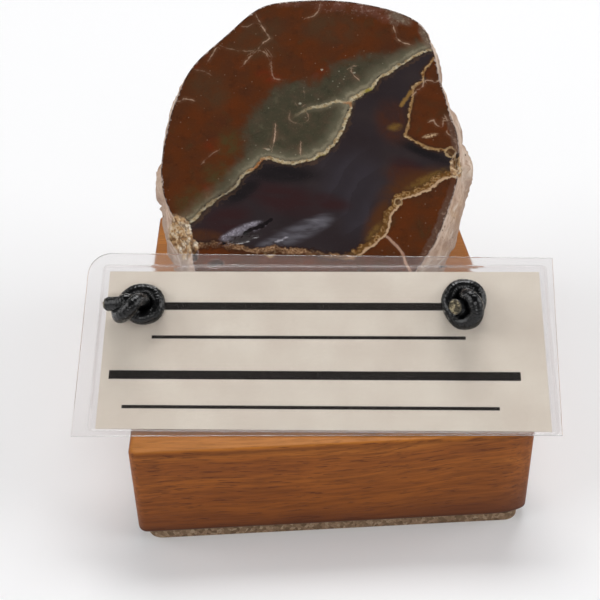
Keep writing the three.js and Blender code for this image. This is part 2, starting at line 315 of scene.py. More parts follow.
def leather():
    """Round lace of drum-dyed cowhide, waxed: near-black, half-gloss, with a fine pebbled grain of about
    0.15 mm, drawn 0.3 mm so that it shows, slightly paler scuffed patches, and a raw tan core at the cuts."""
    look = Finish("waxed black leather lace")
    spot = look.add("TexCoord", out="Object")
    core = look.add("Attribute", {}, out="Fac", attribute_name="cut_end")
    grain = look.add("TexVoronoi", {"Vector": spot, "Scale": per_mm(0.32)}, out="Distance")
    creases = look.add("TexNoise", {"Vector": spot, "Scale": per_mm(0.8), "Detail": 4, "Roughness": 0.6})
    worn = look.add("MapRange", {0: creases, 1: 0.6, 2: 0.72})
    skin = look.add("Mix", {0: worn, 6: "#030304", 7: "#111112"}, data_type="RGBA")
    fibre = look.add("TexNoise", {"Vector": spot, "Scale": per_mm(0.25), "Detail": 4})
    torn = look.add("MapRange", {0: fibre, 1: 0.4, 2: 0.6})
    raw = look.add("Mix", {0: torn, 6: "#3d3325", 7: "#b9ac8b"}, data_type="RGBA")
    frayed = look.add("MapRange", {0: creases, 1: 0.43, 2: 0.53, 3: 0.2, 4: 1.0})
    shown = look.add("Math", {0: core, 1: frayed}, operation="MULTIPLY")
    colour = look.add("Mix", {0: shown, 6: skin, 7: raw}, data_type="RGBA")
    gloss = look.add("MapRange", {0: creases, 1: 0.3, 2: 0.7, 3: 0.1, 4: 0.22})
    dull = look.add("Mix", {0: core, 2: gloss, 3: 0.9})
    low = look.add("Bump", {"Height": creases, "Strength": 0.6, "Distance": 0.2 * MM})
    fine = look.add("Bump", {"Height": grain, "Strength": 0.25, "Distance": 0.05 * MM, "Normal": low})
    return show(look, look.add("BsdfPrincipled", {
        "Base Color": colour, "Roughness": dull, "IOR": 1.5, "Specular IOR Level": 0.45, "Normal": fine,
    }))


def cord():
    """The lace as one closed tube: knot, the way round the stone's foot, knot."""
    route = smooth_curve(
        knot_points(LEFT_HOLE, LEFT_BRIDGE, LONG_TAIL)[::-1]
        + [Vector(place) for place in BEHIND_STONE]
        + knot_points(RIGHT_HOLE, RIGHT_BRIDGE, SHORT_TAIL),
        CORD_STEPS,
    )
    knots = [CARD_FRAME @ Vector((*hole, KNOT_MIDDLE)) for hole in (LEFT_HOLE, RIGHT_HOLE)]
    side = Vector((0, 0, 1)).cross(route[1] - route[0]).normalized()
    points = []
    ends = []
    for i, place in enumerate(route):
        along = (route[min(i + 1, len(route) - 1)] - route[max(i - 1, 0)]).normalized()
        side = (side - along * side.dot(along)).normalized()
        other = along.cross(side)
        drawn = min((place - knot).length for knot in knots)
        tip = min(i, len(route) - 1 - i)
        in_knot = min(1, max(0, (KNOT_REACH - drawn) / KNOT_EASE))
        radius = CORD_DIAMETER / 2 + LACE_SPARE + KNOT_SWELL * in_knot - END_TAPER * max(0, END_STEPS - tip)
        for j in range(CORD_SIDES):
            angle = 2 * math.pi * j / CORD_SIDES
            out = side * math.cos(angle) + other * math.sin(angle)
            creased = 0.05 * max(0, math.sin(i * 1.3 + 2 * angle)) ** 3
            uneven = 1 + 0.03 * math.sin(2 * angle + i * 0.21) - creased
            ragged = 0.1 * math.sin(j * 1.3) + 0.08 * math.sin(j * 2.9 + 1) if tip == 0 else 0
            points.append(place + out * radius * (uneven + ragged))
            ends.append(max(0, 1 - END_FADE * tip))
    faces = []
    for i in range(len(route) - 1):
        faces += between(i * CORD_SIDES, (i + 1) * CORD_SIDES, CORD_SIDES)
    last = (len(route) - 1) * CORD_SIDES
    for first, centre, away in (
        (0, route[0], route[0] - route[1]),
        (last, route[-1], route[-1] - route[-2]),
    ):
        outer = len(points)
        for share, proud in ((0.9, 0.0), (0.55, 0.05)):
            for j in range(CORD_SIDES):
                rim = points[first + j]
                torn = proud + 0.2 * math.sin(j * 1.7) * math.sin(j * 0.9 + share * 5)
                points.append(centre + (rim - centre) * share + away.normalized() * torn)
                ends.append(1.0)
        middle = len(points)
        points.append(centre + away.normalized() * 0.02)
        ends.append(1.0)
        inner = outer + CORD_SIDES
        faces += between(first, outer, CORD_SIDES) + between(outer, inner, CORD_SIDES)
        faces += [(inner + j, inner + (j + 1) % CORD_SIDES, middle) for j in range(CORD_SIDES)]
    places = np.array([list(point) for point in points]) * MM
    lace = piece("cord_leather_lace", places, faces, ["cord"], [leather()])
    lace.data.attributes.new("cut_end", "FLOAT", "POINT").data.foreach_set("value", ends)
    outwards(lace)


cord()


# Floor and light

FLOOR_REACH = 1.5
HORIZON_GLOW = 0.45
ZENITH_GLOW = 0.07


def floor():
    """Matt white paper laid flat: it gives an even pale ground and soft contact shadows."""
    look = Finish("white background paper")
    paper = show(look, look.add("BsdfPrincipled", {
        "Base Color": "#f7f7f8", "Roughness": 0.9, "Specular IOR Level": 0.1,
    }))
    mesh = bpy.data.meshes.new("floor")
    corners = [(x * FLOOR_REACH, y * FLOOR_REACH, 0) for x, y in ((-1, -1), (1, -1), (1, 1), (-1, 1))]
    mesh.from_pydata(corners, [], [(0, 1, 2, 3)])
    mesh.materials.append(paper)
    ground = bpy.data.objects.new("floor", mesh)
    bpy.context.scene.collection.objects.link(ground)


def soft_light(name, place, size, power):
    """A rectangular soft box that looks at the object."""
    data = bpy.data.lights.new(name, "AREA")
    data.shape = "RECTANGLE"
    data.size, data.size_y = size
    data.energy = power
    light = bpy.data.objects.new(name, data)
    light.location = place
    light.rotation_euler = Vector(place).to_track_quat("Z", "Y").to_euler()
    bpy.context.scene.collection.objects.link(light)


floor()
soft_light("overhead_softbox", (0.08, 0.5, 0.85), (0.6, 0.32), 4.7)
soft_light("left_softbox", (-0.85, -0.05, 0.55), (0.9, 0.6), 4.1)
soft_light("right_softbox", (0.85, -0.1, 0.55), (0.9, 0.6), 3.9)
soft_light("front_softbox", (-0.1, -1.0, 0.6), (0.6, 0.3), 2.4)
world = bpy.data.worlds.new("studio")
world.use_nodes = True
studio = world.node_tree
ceiling = studio.nodes.new("ShaderNodeTexCoord")
height = studio.nodes.new("ShaderNodeSeparateXYZ")
shade = studio.nodes.new("ShaderNodeMapRange")
shade.inputs["To Min"].default_value = HORIZON_GLOW
shade.inputs["To Max"].default_value = ZENITH_GLOW
studio.links.new(ceiling.outputs["Generated"], height.inputs[0])
studio.links.new(height.outputs["Z"], shade.inputs["Value"])
studio.links.new(shade.outputs[0], studio.nodes["Background"].inputs["Strength"])
studio.nodes["Background"].inputs["Color"].default_value = linear("#ffffff")
bpy.context.scene.world = world
bpy.context.scene.view_settings.view_transform = "Standard"


# Wood block and cork pad

ROUNDING_STEPS = 6
BLOCK_ARC_STEPS = 8


def block_outline():
    """The block seen from above, with round corners and the rubbed front right corner."""
    x = BLOCK_WIDTH / 2
    y = BLOCK_DEPTH / 2
    r = BLOCK_CORNER
    outline = []

    def bend(start, pull, end, steps):
        for i in range(steps + 1):
            t = i / steps
            a, b, c = (1 - t) ** 2, 2 * t * (1 - t), t * t
            outline.append(tuple(a * s + b * p + c * e for s, p, e in zip(start, pull, end)))

    rubbed = -y + RUBBED_DEPTH
    bend((x - RUBBED_WIDTH, -y), (x - 1.6 * r, -y), (x - 0.4 * r, rubbed), 12)
    bend((x - 0.4 * r, rubbed), (x, rubbed + 0.3 * r), (x, rubbed + 1.2 * r), 6)
    for middle, first in (((x - r, y - r), 0), ((r - x, y - r), 90), ((r - x, r - y), 180)):
        outline += arc(middle, r, first, BLOCK_ARC_STEPS)
    return outline


def sanded_prism(outline, low, high, edge):
    """A prism with rounded edges: rings of the outline drawn in by the rounding, then a lid and a floor."""
    ring = np.array(outline)
    ahead_of = np.roll(ring, -1, axis=0) - ring
    keep = np.linalg.norm(ahead_of, axis=1) > 1e-6
    ring = ring[keep]
    tangent = np.roll(ring, -1, axis=0) - np.roll(ring, 1, axis=0)
    normal = np.column_stack([tangent[:, 1], -tangent[:, 0]])
    normal /= np.linalg.norm(normal, axis=1)[:, None]
    rows = []
    for i in range(ROUNDING_STEPS + 1):
        angle = math.pi / 2 * i / ROUNDING_STEPS
        rows.append((edge * (1 - math.sin(angle)), low + edge * (1 - math.cos(angle))))
    for i in range(ROUNDING_STEPS + 1):
        angle = math.pi / 2 * i / ROUNDING_STEPS
        rows.append((edge * (1 - math.cos(angle)), high - edge * (1 - math.sin(angle))))
    points = []
    for inset, z in rows:
        flat = ring - normal * inset
        points += [(p[0], p[1], z) for p in flat]
    count = len(ring)
    faces = [tuple(range(count))[::-1], tuple((len(rows) - 1) * count + i for i in range(count))]
    for row in range(len(rows) - 1):
        faces += between(row * count, (row + 1) * count, count)
    return points, faces


def myrtlewood():
    """Myrtlewood, sanded and rubbed with oil: warm red-brown with a satin skin. Its grain runs along the
    block's width in bands some 6 mm wide, with open pores 0.15 mm wide and 1 to 4 mm long."""
    look = Finish("oiled myrtlewood")
    spot = look.add("TexCoord", out="Object")
    split = look.add("SeparateXYZ", {0: spot}, out="X")
    rise = look.add("MapRange", {
        0: split, 1: -4 * MM, 2: 30 * MM, 3: 0, 4: -2.6 * MM,
    }, interpolation_type="SMOOTHSTEP")
    lift = look.add("CombineXYZ", {2: rise})
    bent = look.add("VectorMath", {0: spot, 1: lift}, operation="ADD")
    sway = look.add("TexNoise", {"Vector": bent, "Scale": per_mm(22), "Detail": 2}, out="Color")
    swayed = look.add("VectorMath", {0: sway, 1: (0, 1.6 * MM, 2.2 * MM), 2: bent}, operation="MULTIPLY_ADD")
    along = look.add("VectorMath", {0: swayed, 1: (0.06, 1, 1)}, operation="MULTIPLY")
    bands = look.add("TexNoise", {"Vector": along, "Scale": per_mm(6), "Detail": 3, "Roughness": 0.5})
    fibres = look.add("TexNoise", {"Vector": along, "Scale": per_mm(0.45), "Detail": 4, "Roughness": 0.6})
    pores = look.add("TexNoise", {"Vector": along, "Scale": per_mm(0.18), "Detail": 2, "Roughness": 0.5})
    wood = look.add("ValToRGB", {0: bands}, stops=[(0.3, "#814518"), (0.7, "#ae6a27"), (0.5, "#98561c")])
    facing = look.add("NewGeometry", out="Normal")
    sideways = look.add("Math", {0: look.add("SeparateXYZ", {0: facing}, out="X")}, operation="ABSOLUTE")
    contrast = look.add("MapRange", {0: sideways, 1: 0.5, 2: 0.9, 3: 0.6, 4: 0.25})
    streak = look.add("MapRange", {0: fibres, 1: 0.4, 2: 0.64})
    streak = look.add("Math", {0: streak, 1: contrast}, operation="MULTIPLY")
    streaked = look.add("Mix", {0: streak, 6: wood, 7: "#633313"}, data_type="RGBA")
    pore_mask = look.add("MapRange", {0: pores, 1: 0.58, 2: 0.65, 3: 0, 4: 0.7})
    colour = look.add("Mix", {0: pore_mask, 6: streaked, 7: "#54290f"}, data_type="RGBA")
    rise_of = look.add("SeparateXYZ", {0: swayed}, out="Z")
    foot = look.add("MapRange", {
        0: rise_of, 1: 8 * MM, 2: 1 * MM, 3: 0, 4: 0.8,
    }, interpolation_type="SMOOTHSTEP")
    colour = look.add("Mix", {0: foot, 6: colour, 7: "#5c301b"}, data_type="RGBA")
    height = look.add("SeparateXYZ", {0: spot}, out="Z")
    # painted light: the top face is mixed towards a lighter orange, as if lit from above
    lid = look.add("MapRange", {0: height, 1: (BLOCK_TOP - 0.2) * MM, 2: BLOCK_TOP * MM, 3: 0, 4: 0.32})
    colour = look.add("Mix", {0: lid, 6: colour, 7: "#cf8a3c"}, data_type="RGBA")
    below_edge = look.add("Math", {0: height, 1: (BLOCK_TOP - 0.5) * MM}, operation="SUBTRACT")
    off_edge = look.add("Math", {0: below_edge}, operation="ABSOLUTE")
    edge = look.add("MapRange", {
        0: off_edge, 1: 0.4 * MM, 2: 0, 3: 0, 4: 0.35,
    }, interpolation_type="SMOOTHSTEP")
    colour = look.add("Mix", {0: edge, 6: colour, 7: "#5a2d12"}, data_type="RGBA")
    # painted shadow: a dark band on the wood just above the cork pad, where shade falls between block and pad
    painted_pad_shadow = look.add("MapRange", {
        0: height, 1: (PAD_THICKNESS + 1.1) * MM, 2: PAD_THICKNESS * MM, 3: 0, 4: 0.7,
    })
    colour = look.add("Mix", {0: painted_pad_shadow, 6: colour, 7: "#2e1a10"}, data_type="RGBA")
    relief = look.add("Bump", {"Height": pore_mask, "Strength": 0.35, "Distance": 0.05 * MM}, invert=True)
    ripple = look.add("Bump", {"Height": fibres, "Strength": 0.3, "Distance": 0.03 * MM, "Normal": relief})
    gloss = look.add("MapRange", {0: fibres, 1: 0.3, 2: 0.7, 3: 0.38, 4: 0.52})
    return show(look, look.add("BsdfPrincipled", {
        "Base Color": colour, "Roughness": gloss, "IOR": 1.5, "Specular IOR Level": 0.2, "Normal": ripple,
    }))


def cork():
    """Sheet of ground and bound cork, cut with a knife: tan granules of about 0.5 mm, with darker bark
    flecks and a crumbly edge, quite matt."""
    look = Finish("bound cork sheet")
    spot = look.add("TexCoord", out="Object")
    grains = look.add("TexVoronoi", {"Vector": spot, "Scale": per_mm(0.5)}, out="Color")
    edges = look.add("TexVoronoi", {"Vector": spot, "Scale": per_mm(0.5)}, out="Distance")
    tone = look.add("SeparateColor", {0: grains}, out="Red")
    crumbs = look.add("TexNoise", {"Vector": spot, "Scale": per_mm(0.35), "Detail": 4, "Roughness": 0.6})
    body = look.add("ValToRGB", {0: tone}, stops=[
        (0, "#6d5844"), (1, "#a8937a"), (0.4, "#846c55"), (0.75, "#967c64"),
    ])
    colour = look.add("Mix", {
        0: look.add("MapRange", {0: crumbs, 1: 0.5, 2: 0.75, 3: 0, 4: 0.6}), 6: body, 7: "#52402f",
    }, data_type="RGBA")
    low = look.add("Bump", {"Height": edges, "Strength": 0.5, "Distance": 0.15 * MM})
    fine = look.add("Bump", {"Height": crumbs, "Strength": 0.6, "Distance": 0.1 * MM, "Normal": low})
    return show(look, look.add("BsdfPrincipled", {
        "Base Color": colour, "Roughness": 0.92, "Specular IOR Level": 0.2, "Normal": fine,
    }))


points, faces = sanded_prism(block_outline(), PAD_THICKNESS, BLOCK_TOP, BLOCK_EDGE)
piece("wood_block", np.array(points) * MM, faces, ["base"], [myrtlewood()])
dress("base_pad", cork())


# Stone

STONE_AROUND = 400
STONE_ROWS = 90
RIM_STEPS = 40
VEIN_STEPS = 5
FACE_GRID = 0.28
NET_MARGIN = 0.16  # the net keeps this far from the rim
LINE_REACH = (1.6, 2.4)  # a vein's own look fades out between these distances
BRANCH_FADE = (-2.0, 3.2)  # and the branch's between these distances left of the face's middle
RING_FAR = 9.0  # a ring further off than this counts as this far
# Bulges of the rind: angle round the face, half spread, rise. The first is narrower than the CAD model's
# and turned by 7 degrees.
BULGES = [(-20, 50, 1.4), (219, 24, 1.9), (197, 15, -0.9)]
BULGE_RISE = 4  # depth behind the cut at which a bulge is full
BULGE_FALL = 12
BULGE_END = 24
# Flakes: first and last angle, first and last depth, rise. The second is half as high as the CAD model's,
# and the fourth is lower and covers 14 degrees instead of 29.
FLAKES = [
    (-9, 7.5, 2, 8.5, 0.75), (9, 27, 2.6, 9.5, 0.3), (34, 66, 4, 12, 0.5), (181, 195, 1.2, 6.3, 0.75),
    (250, 290, 5, 12, 0.55),
]
# Hollows in the polished face: middle, half sizes, depth, turn in degrees. The first two, the vug, are
# smaller and shallower than the CAD model's.
HOLLOWS = [
    ((-9.6, -14.2), (3.0, 0.9), 0.22, 14), ((-4.6, -12.6), (1.2, 0.5), 0.15, 20),
    ((-19.6, -13.6), (1.7, 1.2), 1.1, 50), ((-17.4, -16.6), (1.5, 1), 0.9, 110),
    ((-13.6, -18.6), (1.3, 0.6), 0.7, 5), ((23.2, -1.4), (0.9, 1.5), 1.3, 0),
]

# Where the veins and borders run over the polished face, in millimetres from its middle
UPPER_VEIN = [
    (-18.2, -12.0), (-16.8, -10.8), (-16.0, -9.6), (-14.7, -8.4), (-13.5, -7.3), (-12.5, -6.7), (-11.4, -5.8),
    (-10.9, -5.2), (-10.3, -3.9), (-9.3, -2.9), (-8.0, -2.0), (-7.0, -0.6), (-6.0, -0.5), (-5.2, -0.8),
    (-3.8, -1.2), (-2.1, -1.4), (-0.7, -1.0), (0.7, -0.7), (1.7, 0.1), (2.4, 0.3), (3.4, 1.4), (3.9, 1.9),
    (4.6, 3.2), (5.3, 4.4), (5.6, 5.6), (6.1, 7.0), (6.6, 8.9), (6.5, 9.7), (6.8, 10.3), (7.9, 10.9),
    (8.7, 11.6), (9.8, 12.1), (10.3, 12.9), (11.0, 14.1), (12.1, 14.8), (13.1, 15.4), (13.8, 16.2),
    (15.2, 17.0), (16.3, 17.9), (17.5, 18.7), (18.6, 19.3), (19.9, 19.6),
]
BRANCH_VEIN = [
    (6.5, 9.7), (6.0, 9.5), (4.6, 9.8), (3.9, 9.7), (2.9, 9.2), (1.7, 8.8), (0.5, 8.7), (-0.4, 8.3),
    (-1.6, 7.5), (-2.8, 6.7),
]
ORANGE_STRIP = [(16.1, 11.5), (15.6, 10.7), (15.1, 9.8), (14.6, 9.0)]
SPUR = [
    (11.4, -13.7), (12.2, -14.3), (12.9, -15.1), (13.6, -15.9), (14.2, -16.9), (14.6, -18.4), (15.4, -20.0),
]
RIGHT_VEIN = [
    (19.9, 17.8), (19.2, 16.6), (18.5, 15.8), (18.1, 14.7), (18.3, 13.7), (17.4, 13.1), (16.6, 12.3),
    (16.4, 10.4), (16.1, 9.2), (15.8, 7.4), (15.7, 6.0), (15.4, 4.6), (15.1, 3.5), (15.6, 3.1), (16.5, 2.5),
    (17.4, 1.9), (18.5, 1.3), (19.7, 1.0), (20.7, 0.9), (21.4, 0.7), (22.3, -0.2), (23.2, -0.6),
]
LOWER_VEIN = [
    (23.2, -3.4), (22.7, -3.6), (22.0, -3.6), (20.7, -3.9), (19.8, -4.5), (19.0, -5.3), (18.0, -6.0),
    (17.0, -6.4), (16.1, -6.8), (14.6, -7.3), (13.8, -7.7), (13.4, -8.9), (12.3, -10.3), (12.1, -11.6),
    (11.8, -12.8), (11.3, -13.7), (10.6, -14.4), (9.6, -15.3), (8.6, -15.9), (8.0, -16.6), (6.7, -17.2),
]
BOTTOM_BORDER = [
    (-18.2, -12.0), (-18.1, -13.0), (-17.9, -14.3), (-17.4, -15.0), (-16.2, -15.2), (-14.7, -15.2),
    (-13.1, -15.0), (-12.1, -15.2), (-11.1, -15.5), (-10.0, -15.5), (-9.3, -15.9), (-7.9, -16.2),
    (-6.3, -16.1), (-5.1, -15.7), (-4.0, -15.9), (-3.3, -16.2), (-0.7, -16.2), (2.7, -16.9), (6.7, -17.2),
]
GREEN_EDGE = [
    (-18.2, -11.6), (-17.3, -10.6), (-15.6, -8.7), (-14.5, -6.5), (-13.2, -4.4), (-11.7, -2.3), (-10.7, -0.6),
    (-10.2, 1.3), (-10.2, 3.7), (-10.0, 5.9), (-8.0, 9.3), (-6.3, 11.4), (-4.7, 13.2), (-2.9, 13.8),
    (-1.2, 13.8), (0.3, 13.2), (2.0, 14.6), (3.7, 16.7), (5.5, 17.5), (7.2, 18.1), (9.0, 18.5), (10.7, 18.7),
    (12.5, 18.9), (14.2, 19.6), (16.0, 20.0), (17.8, 20.4), (19.8, 20.6),
]
# Healed cracks and scratches: strength and the points they run through
CRACKS = [
    (1.0, [(-9.1, 27.1), (-8.4, 25.5), (-7.6, 23.9), (-6.5, 22.0)]),
    (0.8, [(-6.5, 22.0), (-7.6, 21.1), (-8.6, 19.7), (-9.7, 18.3), (-10.9, 16.6)]),
    (0.6, [(-8.6, 19.7), (-7.4, 19.3), (-6.7, 18.3), (-6.4, 16.8)]),
    (0.5, [(-6.8, 19.7), (-6.1, 18.5), (-6.2, 17.4), (-5.7, 14.3), (-4.7, 13.9)]),
    (0.35, [(-8.6, 19.7), (-10.0, 19.5), (-12.2, 19.7), (-14.3, 20.5)]),
    (0.35, [(-8.1, 24.7), (-9.1, 25.1), (-10.4, 24.3), (-11.4, 24.5)]),
    (0.7, [(1.6, 28.8), (1.3, 27.4), (0.5, 26.4), (-0.5, 26.0)]),
    (1.0, [(13.7, 23.9), (14.3, 21.7), (15.3, 20.9), (16.3, 20.6)]),
    (0.9, [(-20.7, 10.0), (-19.8, 10.4), (-18.5, 10.1)]),
    (0.7, [(-16.5, 17.6), (-15.9, 18.8), (-15.3, 20.0)]),
    (0.4, [(-18.3, 15.9), (-17.2, 15.7), (-16.2, 15.1)]),
    (0.4, [(-16.3, -1.2), (-15.1, 0.1), (-14.2, 0.8)]),
    (1.1, [(-5.2, 5.3), (-5.3, 3.1), (-5.6, 1.1)]),
    (0.8, [(6.2, 16.0), (6.8, 16.4), (7.5, 16.5)]),
    (0.7, [(6.6, 16.3), (6.8, 15.4)]),
    (0.9, [(7.3, 14.5), (7.6, 14.2), (7.9, 13.8)]),
    (0.28, [(-3.0, 7.7), (-3.1, 6.7), (-2.5, 6.0), (-1.5, 5.7)]),
    (0.4, [(-0.3, 7.7), (0.0, 6.9), (-0.2, 6.3), (-0.7, 5.9)]),
    (0.4, [(-2.1, 9.3), (-1.6, 8.6), (-0.8, 9.1)]),
    (0.5, [(-0.8, 11.6), (-0.7, 10.6)]),
    (0.6, [(-6.6, 1.1), (-6.0, 1.0)]),
    (0.8, [(-1.2, 2.0), (-1.2, 0.4)]),
    (0.8, [(19.0, 6.0), (19.5, 6.2), (20.0, 5.4), (20.7, 4.9), (21.0, 5.4), (21.1, 6.2), (21.9, 6.1)]),
    (0.9, [(21.5, 6.8), (21.9, 5.4), (21.6, 4.0), (22.3, 3.2), (22.9, 2.1), (23.1, 0.8)]),
    (1.0, [(18.3, 13.7), (19.3, 13.7), (20.1, 13.3), (20.9, 13.7)]),
    (0.9, [(18.3, 13.7), (18.0, 12.5), (17.2, 11.9), (16.6, 11.1)]),
]
# Small closed loops in the veins: middle and radius
RINGS = [((13.7, -8.2), 0.6), ((22.0, 0.5), 0.8), ((-5.5, -16.7), 0.7)]
# Soft patches on the face: name, middle, half sizes, turn in degrees
PATCHES = {
    "haze": [
        ((-1.4, -13.4), (5.2, 1.6), 26), ((-5.0, -15.0), (2.8, 1.1), 20), ((1.6, -11.9), (2.8, 1.3), 26),
    ],
    "streak": [((-4.1, -14.7), (1.0, 0.22), 18), ((-3.2, -14.2), (0.6, 0.18), 25)],
    "night": [((-3.6, -3.2), (6.4, 2.0), -2), ((-9.9, -6.4), (3.8, 1.5), 38), ((17.6, 0.7), (5.0, 1.1), -26)],
    "maroon": [
        ((-3.4, -7.6), (6.8, 3.0), -14), ((-12.5, -11.4), (5.0, 2.8), 32), ((3.2, -8.2), (3.6, 1.6), -14),
        ((15.4, -2.2), (3.4, 1.6), -24),
    ],
    "slate": [((6.4, -4.4), (5.8, 6.0), 20), ((7.6, -10.4), (3.0, 4.2), -15)],
    "ember": [((13.2, 6.0), (3.0, 4.4), 12), ((13.4, 4.4), (2.4, 2.2), 0), ((14.8, -3.6), (3.6, 2.0), -12)],
    "rust": [
        ((15.6, -5.2), (5.6, 2.1), 28), ((10.9, -11.4), (2.0, 5.2), -24), ((-15.2, -13.9), (3.2, 1.2), -8),
    ],
    "amber": [
        ((13.5, 5.0), (1.3, 0.8), 10), ((18.4, -4.3), (4.2, 1.0), 28), ((10.2, -13.4), (0.9, 2.6), -35),
    ],
    "druse": [
        ((-10.6, -13.3), (2.6, 0.75), 30), ((-12.0, -14.1), (1.2, 0.6), 20), ((-8.6, -12.1), (1.9, 0.5), 18),
    ],
    "druse_specks": [
        ((-9.2, -13.4), (0.55, 0.4), 30), ((-8.6, -12.9), (0.5, 0.35), 40), ((-7.7, -12.6), (0.7, 0.35), 20),
        ((-6.8, -12.3), (0.5, 0.4), 0), ((-6.2, -11.8), (0.5, 0.35), 45), ((-5.6, -11.3), (0.6, 0.35), 30),
    ],
    "pale_dots": [
        ((-1.4, 9.4), (0.4, 0.35), 0), ((-4.4, -0.5), (0.4, 0.3), 0), ((2.0, 15.8), (0.35, 0.3), 0),
        ((-6.3, 1.05), (0.6, 0.3), -10), ((7.2, 15.2), (0.4, 0.25), 30),
    ],
    "druse_gaps": [((-7.4, -12.4), (1.7, 0.55), 28), ((-12.2, -15.2), (1.2, 0.5), 10)],
    "halo_gap": [((-13.0, -7.4), (6.5, 3.2), 42)],
    "umber": [
        ((-8.4, 22.0), (5.4, 4.4), 20), ((3.4, 24.0), (6.0, 3.4), -10), ((-16.0, 12.0), (3.4, 5.0), 15),
    ],
    "orange": [((-7.6, -1.6), (1.9, 0.9), 38), ((6.3, 9.2), (1.3, 0.6), -5), ((15.3, 10.2), (0.7, 1.9), -20)],
    "lime": [((9.4, 11.8), (1.1, 0.6), 25), ((2.2, -0.4), (1.4, 0.5), 22)],
    "pink_rim": [
        ((6.6, 27.9), (6.8, 1.8), -5), ((-3.0, 29.0), (3.0, 0.8), 5), ((11.6, 26.4), (3.2, 1.8), -28),
    ],
    "grey_rim": [
        ((14.6, 26.0), (2.6, 1.2), -35), ((13.9, 24.2), (0.8, 2.2), 12), ((19.0, 21.6), (0.8, 3.2), 22),
    ],
    "grey_wall": [((22.7, 3.4), (1.2, 4.2), 12), ((20.2, -11.9), (2.6, 8.6), -23)],
    "pale_blob": [((18.9, 3.4), (1.3, 0.34), 14)],
    "olive": [
        ((-17.6, -8.2), (3.0, 3.0), 40), ((-13.8, -3.6), (2.6, 3.2), 30), ((-12.2, 2.2), (2.4, 3.0), 0),
    ],
    "red_glow": [
        ((-16.8, 18.4), (0.7, 0.7), 0), ((-18.2, 16.7), (0.6, 0.8), 0), ((-6.4, 14.5), (2.6, 1.4), -20),
        ((2.4, 15.0), (2.6, 1.2), 25), ((-14.6, 2.0), (2.0, 1.4), 20), ((-15.2, -5.4), (1.4, 1.0), 30),
    ],
    "crumbs": [
        ((-19.3, -13.0), (2.5, 3.2), 20), ((-17.6, -15.6), (2.0, 1.6), 10), ((22.6, -2.0), (1.4, 2.4), 0),
    ],
}


def hashed(i, j, k):
    """A fixed number between -1 and 1 for each cell of a grid, the same as the CAD model's."""
    s = np.sin(i * 127.1 + j * 311.7 + k * 74.7) * 43758.5453
    return 2 * (s - np.floor(s)) - 1


def lumpy(places):
    """Smooth noise between -1 and 1, the same as the CAD model's."""
    cell = np.floor(places)
    part = places - cell
    ease = part * part * (3 - 2 * part)
    i, j, k = cell.T
    a, b, c = ease.T

    def edge(dj, dk):
        near = hashed(i, j + dj, k + dk)
        return near + (hashed(i + 1, j + dj, k + dk) - near) * a

    low = edge(0, 0) + (edge(1, 0) - edge(0, 0)) * b
    high = edge(0, 1) + (edge(1, 1) - edge(0, 1)) * b
    return low + (high - low) * c


def smoothly(value, low, high):
    """0 below the range, 1 above it, and an even ease between."""
    t = np.clip((value - low) / (high - low), 0, 1)
    return t * t * (3 - 2 * t)


def rind_height(p, depth, angle):
    """How far the rind stands out: the CAD model's lumps and pits, bulges and flakes close to its own, and
    finer crumbs and layers on top."""
    pitted = lumpy(p / 2.8 + np.array([0, 40, 0]))
    knobs = 0.6 * lumpy(p / 3.8 + np.array([20, 0, 0]))
    relief = 0.85 * lumpy(p / 9) + knobs - 1.1 * np.maximum(0, pitted - 0.4)
    height = relief * smoothly(depth, -1, 4.5)
    reach = smoothly(depth, 0, BULGE_RISE) * (1 - smoothly(depth, BULGE_FALL, BULGE_END))
    for towards, spread, rise in BULGES:
        off = np.abs((angle - towards + 180) % 360 - 180)
        height += np.where(off < spread, rise * np.cos(off / spread * math.pi / 2) ** 2, 0) * reach
    ragged_angle = angle + 2.2 * lumpy(p / 1.6 + 7)
    ragged_depth = depth + 0.6 * lumpy(p / 1.3 + 3)
    for first, last, start, end, rise in FLAKES:
        along = ((ragged_angle - first) % 360) / (last - first)
        inside = (along < 1) & (ragged_depth > start) & (ragged_depth < end)
        brink = np.minimum(np.minimum(9 * (1 - along), 9 * along), 1)
        slope = np.minimum(1, np.minimum(4 * (ragged_depth - start), 4 * (end - ragged_depth)))
        height += np.where(inside, rise * np.minimum(brink, slope), 0)
    crumbs = 0.16 * lumpy(p / 1.25 + 11) + 0.09 * lumpy(p / 0.6 + 5)
    loose = soft_ovals(p[:, :2], PATCHES["crumbs"]) * smoothly(depth, 0, 0.8) * (1 - smoothly(depth, 3, 7))
    height += loose * (0.4 * lumpy(p / 0.95 + 2) + 0.3 * lumpy(p / 0.55 + 8))
    layers = 0.1 * np.sin(2 * math.pi * (depth / 1.5 + 0.7 * lumpy(p / 5 + 31)))
    return height + (crumbs + layers) * smoothly(depth, 0, 2.5)


def line_offset(places, line):
    """Distance in millimetres from each place to a line, positive on the left of its direction."""
    best = np.full(len(places), 1e9)
    signed = np.zeros(len(places))
    for a, b in zip(line[:-1], line[1:]):
        step = b - a
        size = float(step @ step)
        if size < 1e-12:
            continue
        t = np.clip((places - a) @ step / size, 0, 1)
        gap = places - a - t[:, None] * step
        distance = np.hypot(gap[:, 0], gap[:, 1])
        side = np.sign(step[0] * gap[:, 1] - step[1] * gap[:, 0])
        nearer = distance < best
        best = np.where(nearer, distance, best)
        signed = np.where(nearer, distance * np.where(side == 0, 1, side), signed)
    return signed


def inside_of(places, outline):
    """True for each place inside a closed outline."""
    within = np.zeros(len(places), bool)
    for a, b in zip(outline, np.roll(outline, -1, axis=0)):
        if a[1] == b[1]:
            continue
        crosses = (a[1] > places[:, 1]) != (b[1] > places[:, 1])
        where = (b[0] - a[0]) * (places[:, 1] - a[1]) / (b[1] - a[1]) + a[0]
        within ^= crosses & (places[:, 0] < where)
    return within


def zone_depth(places, outline):
    """Distance from the edge of a zone, positive inside it."""
    closed = np.vstack([outline, outline[:1]])
    distance = np.abs(line_offset(places, closed))
    return np.where(inside_of(places, outline), distance, -distance)


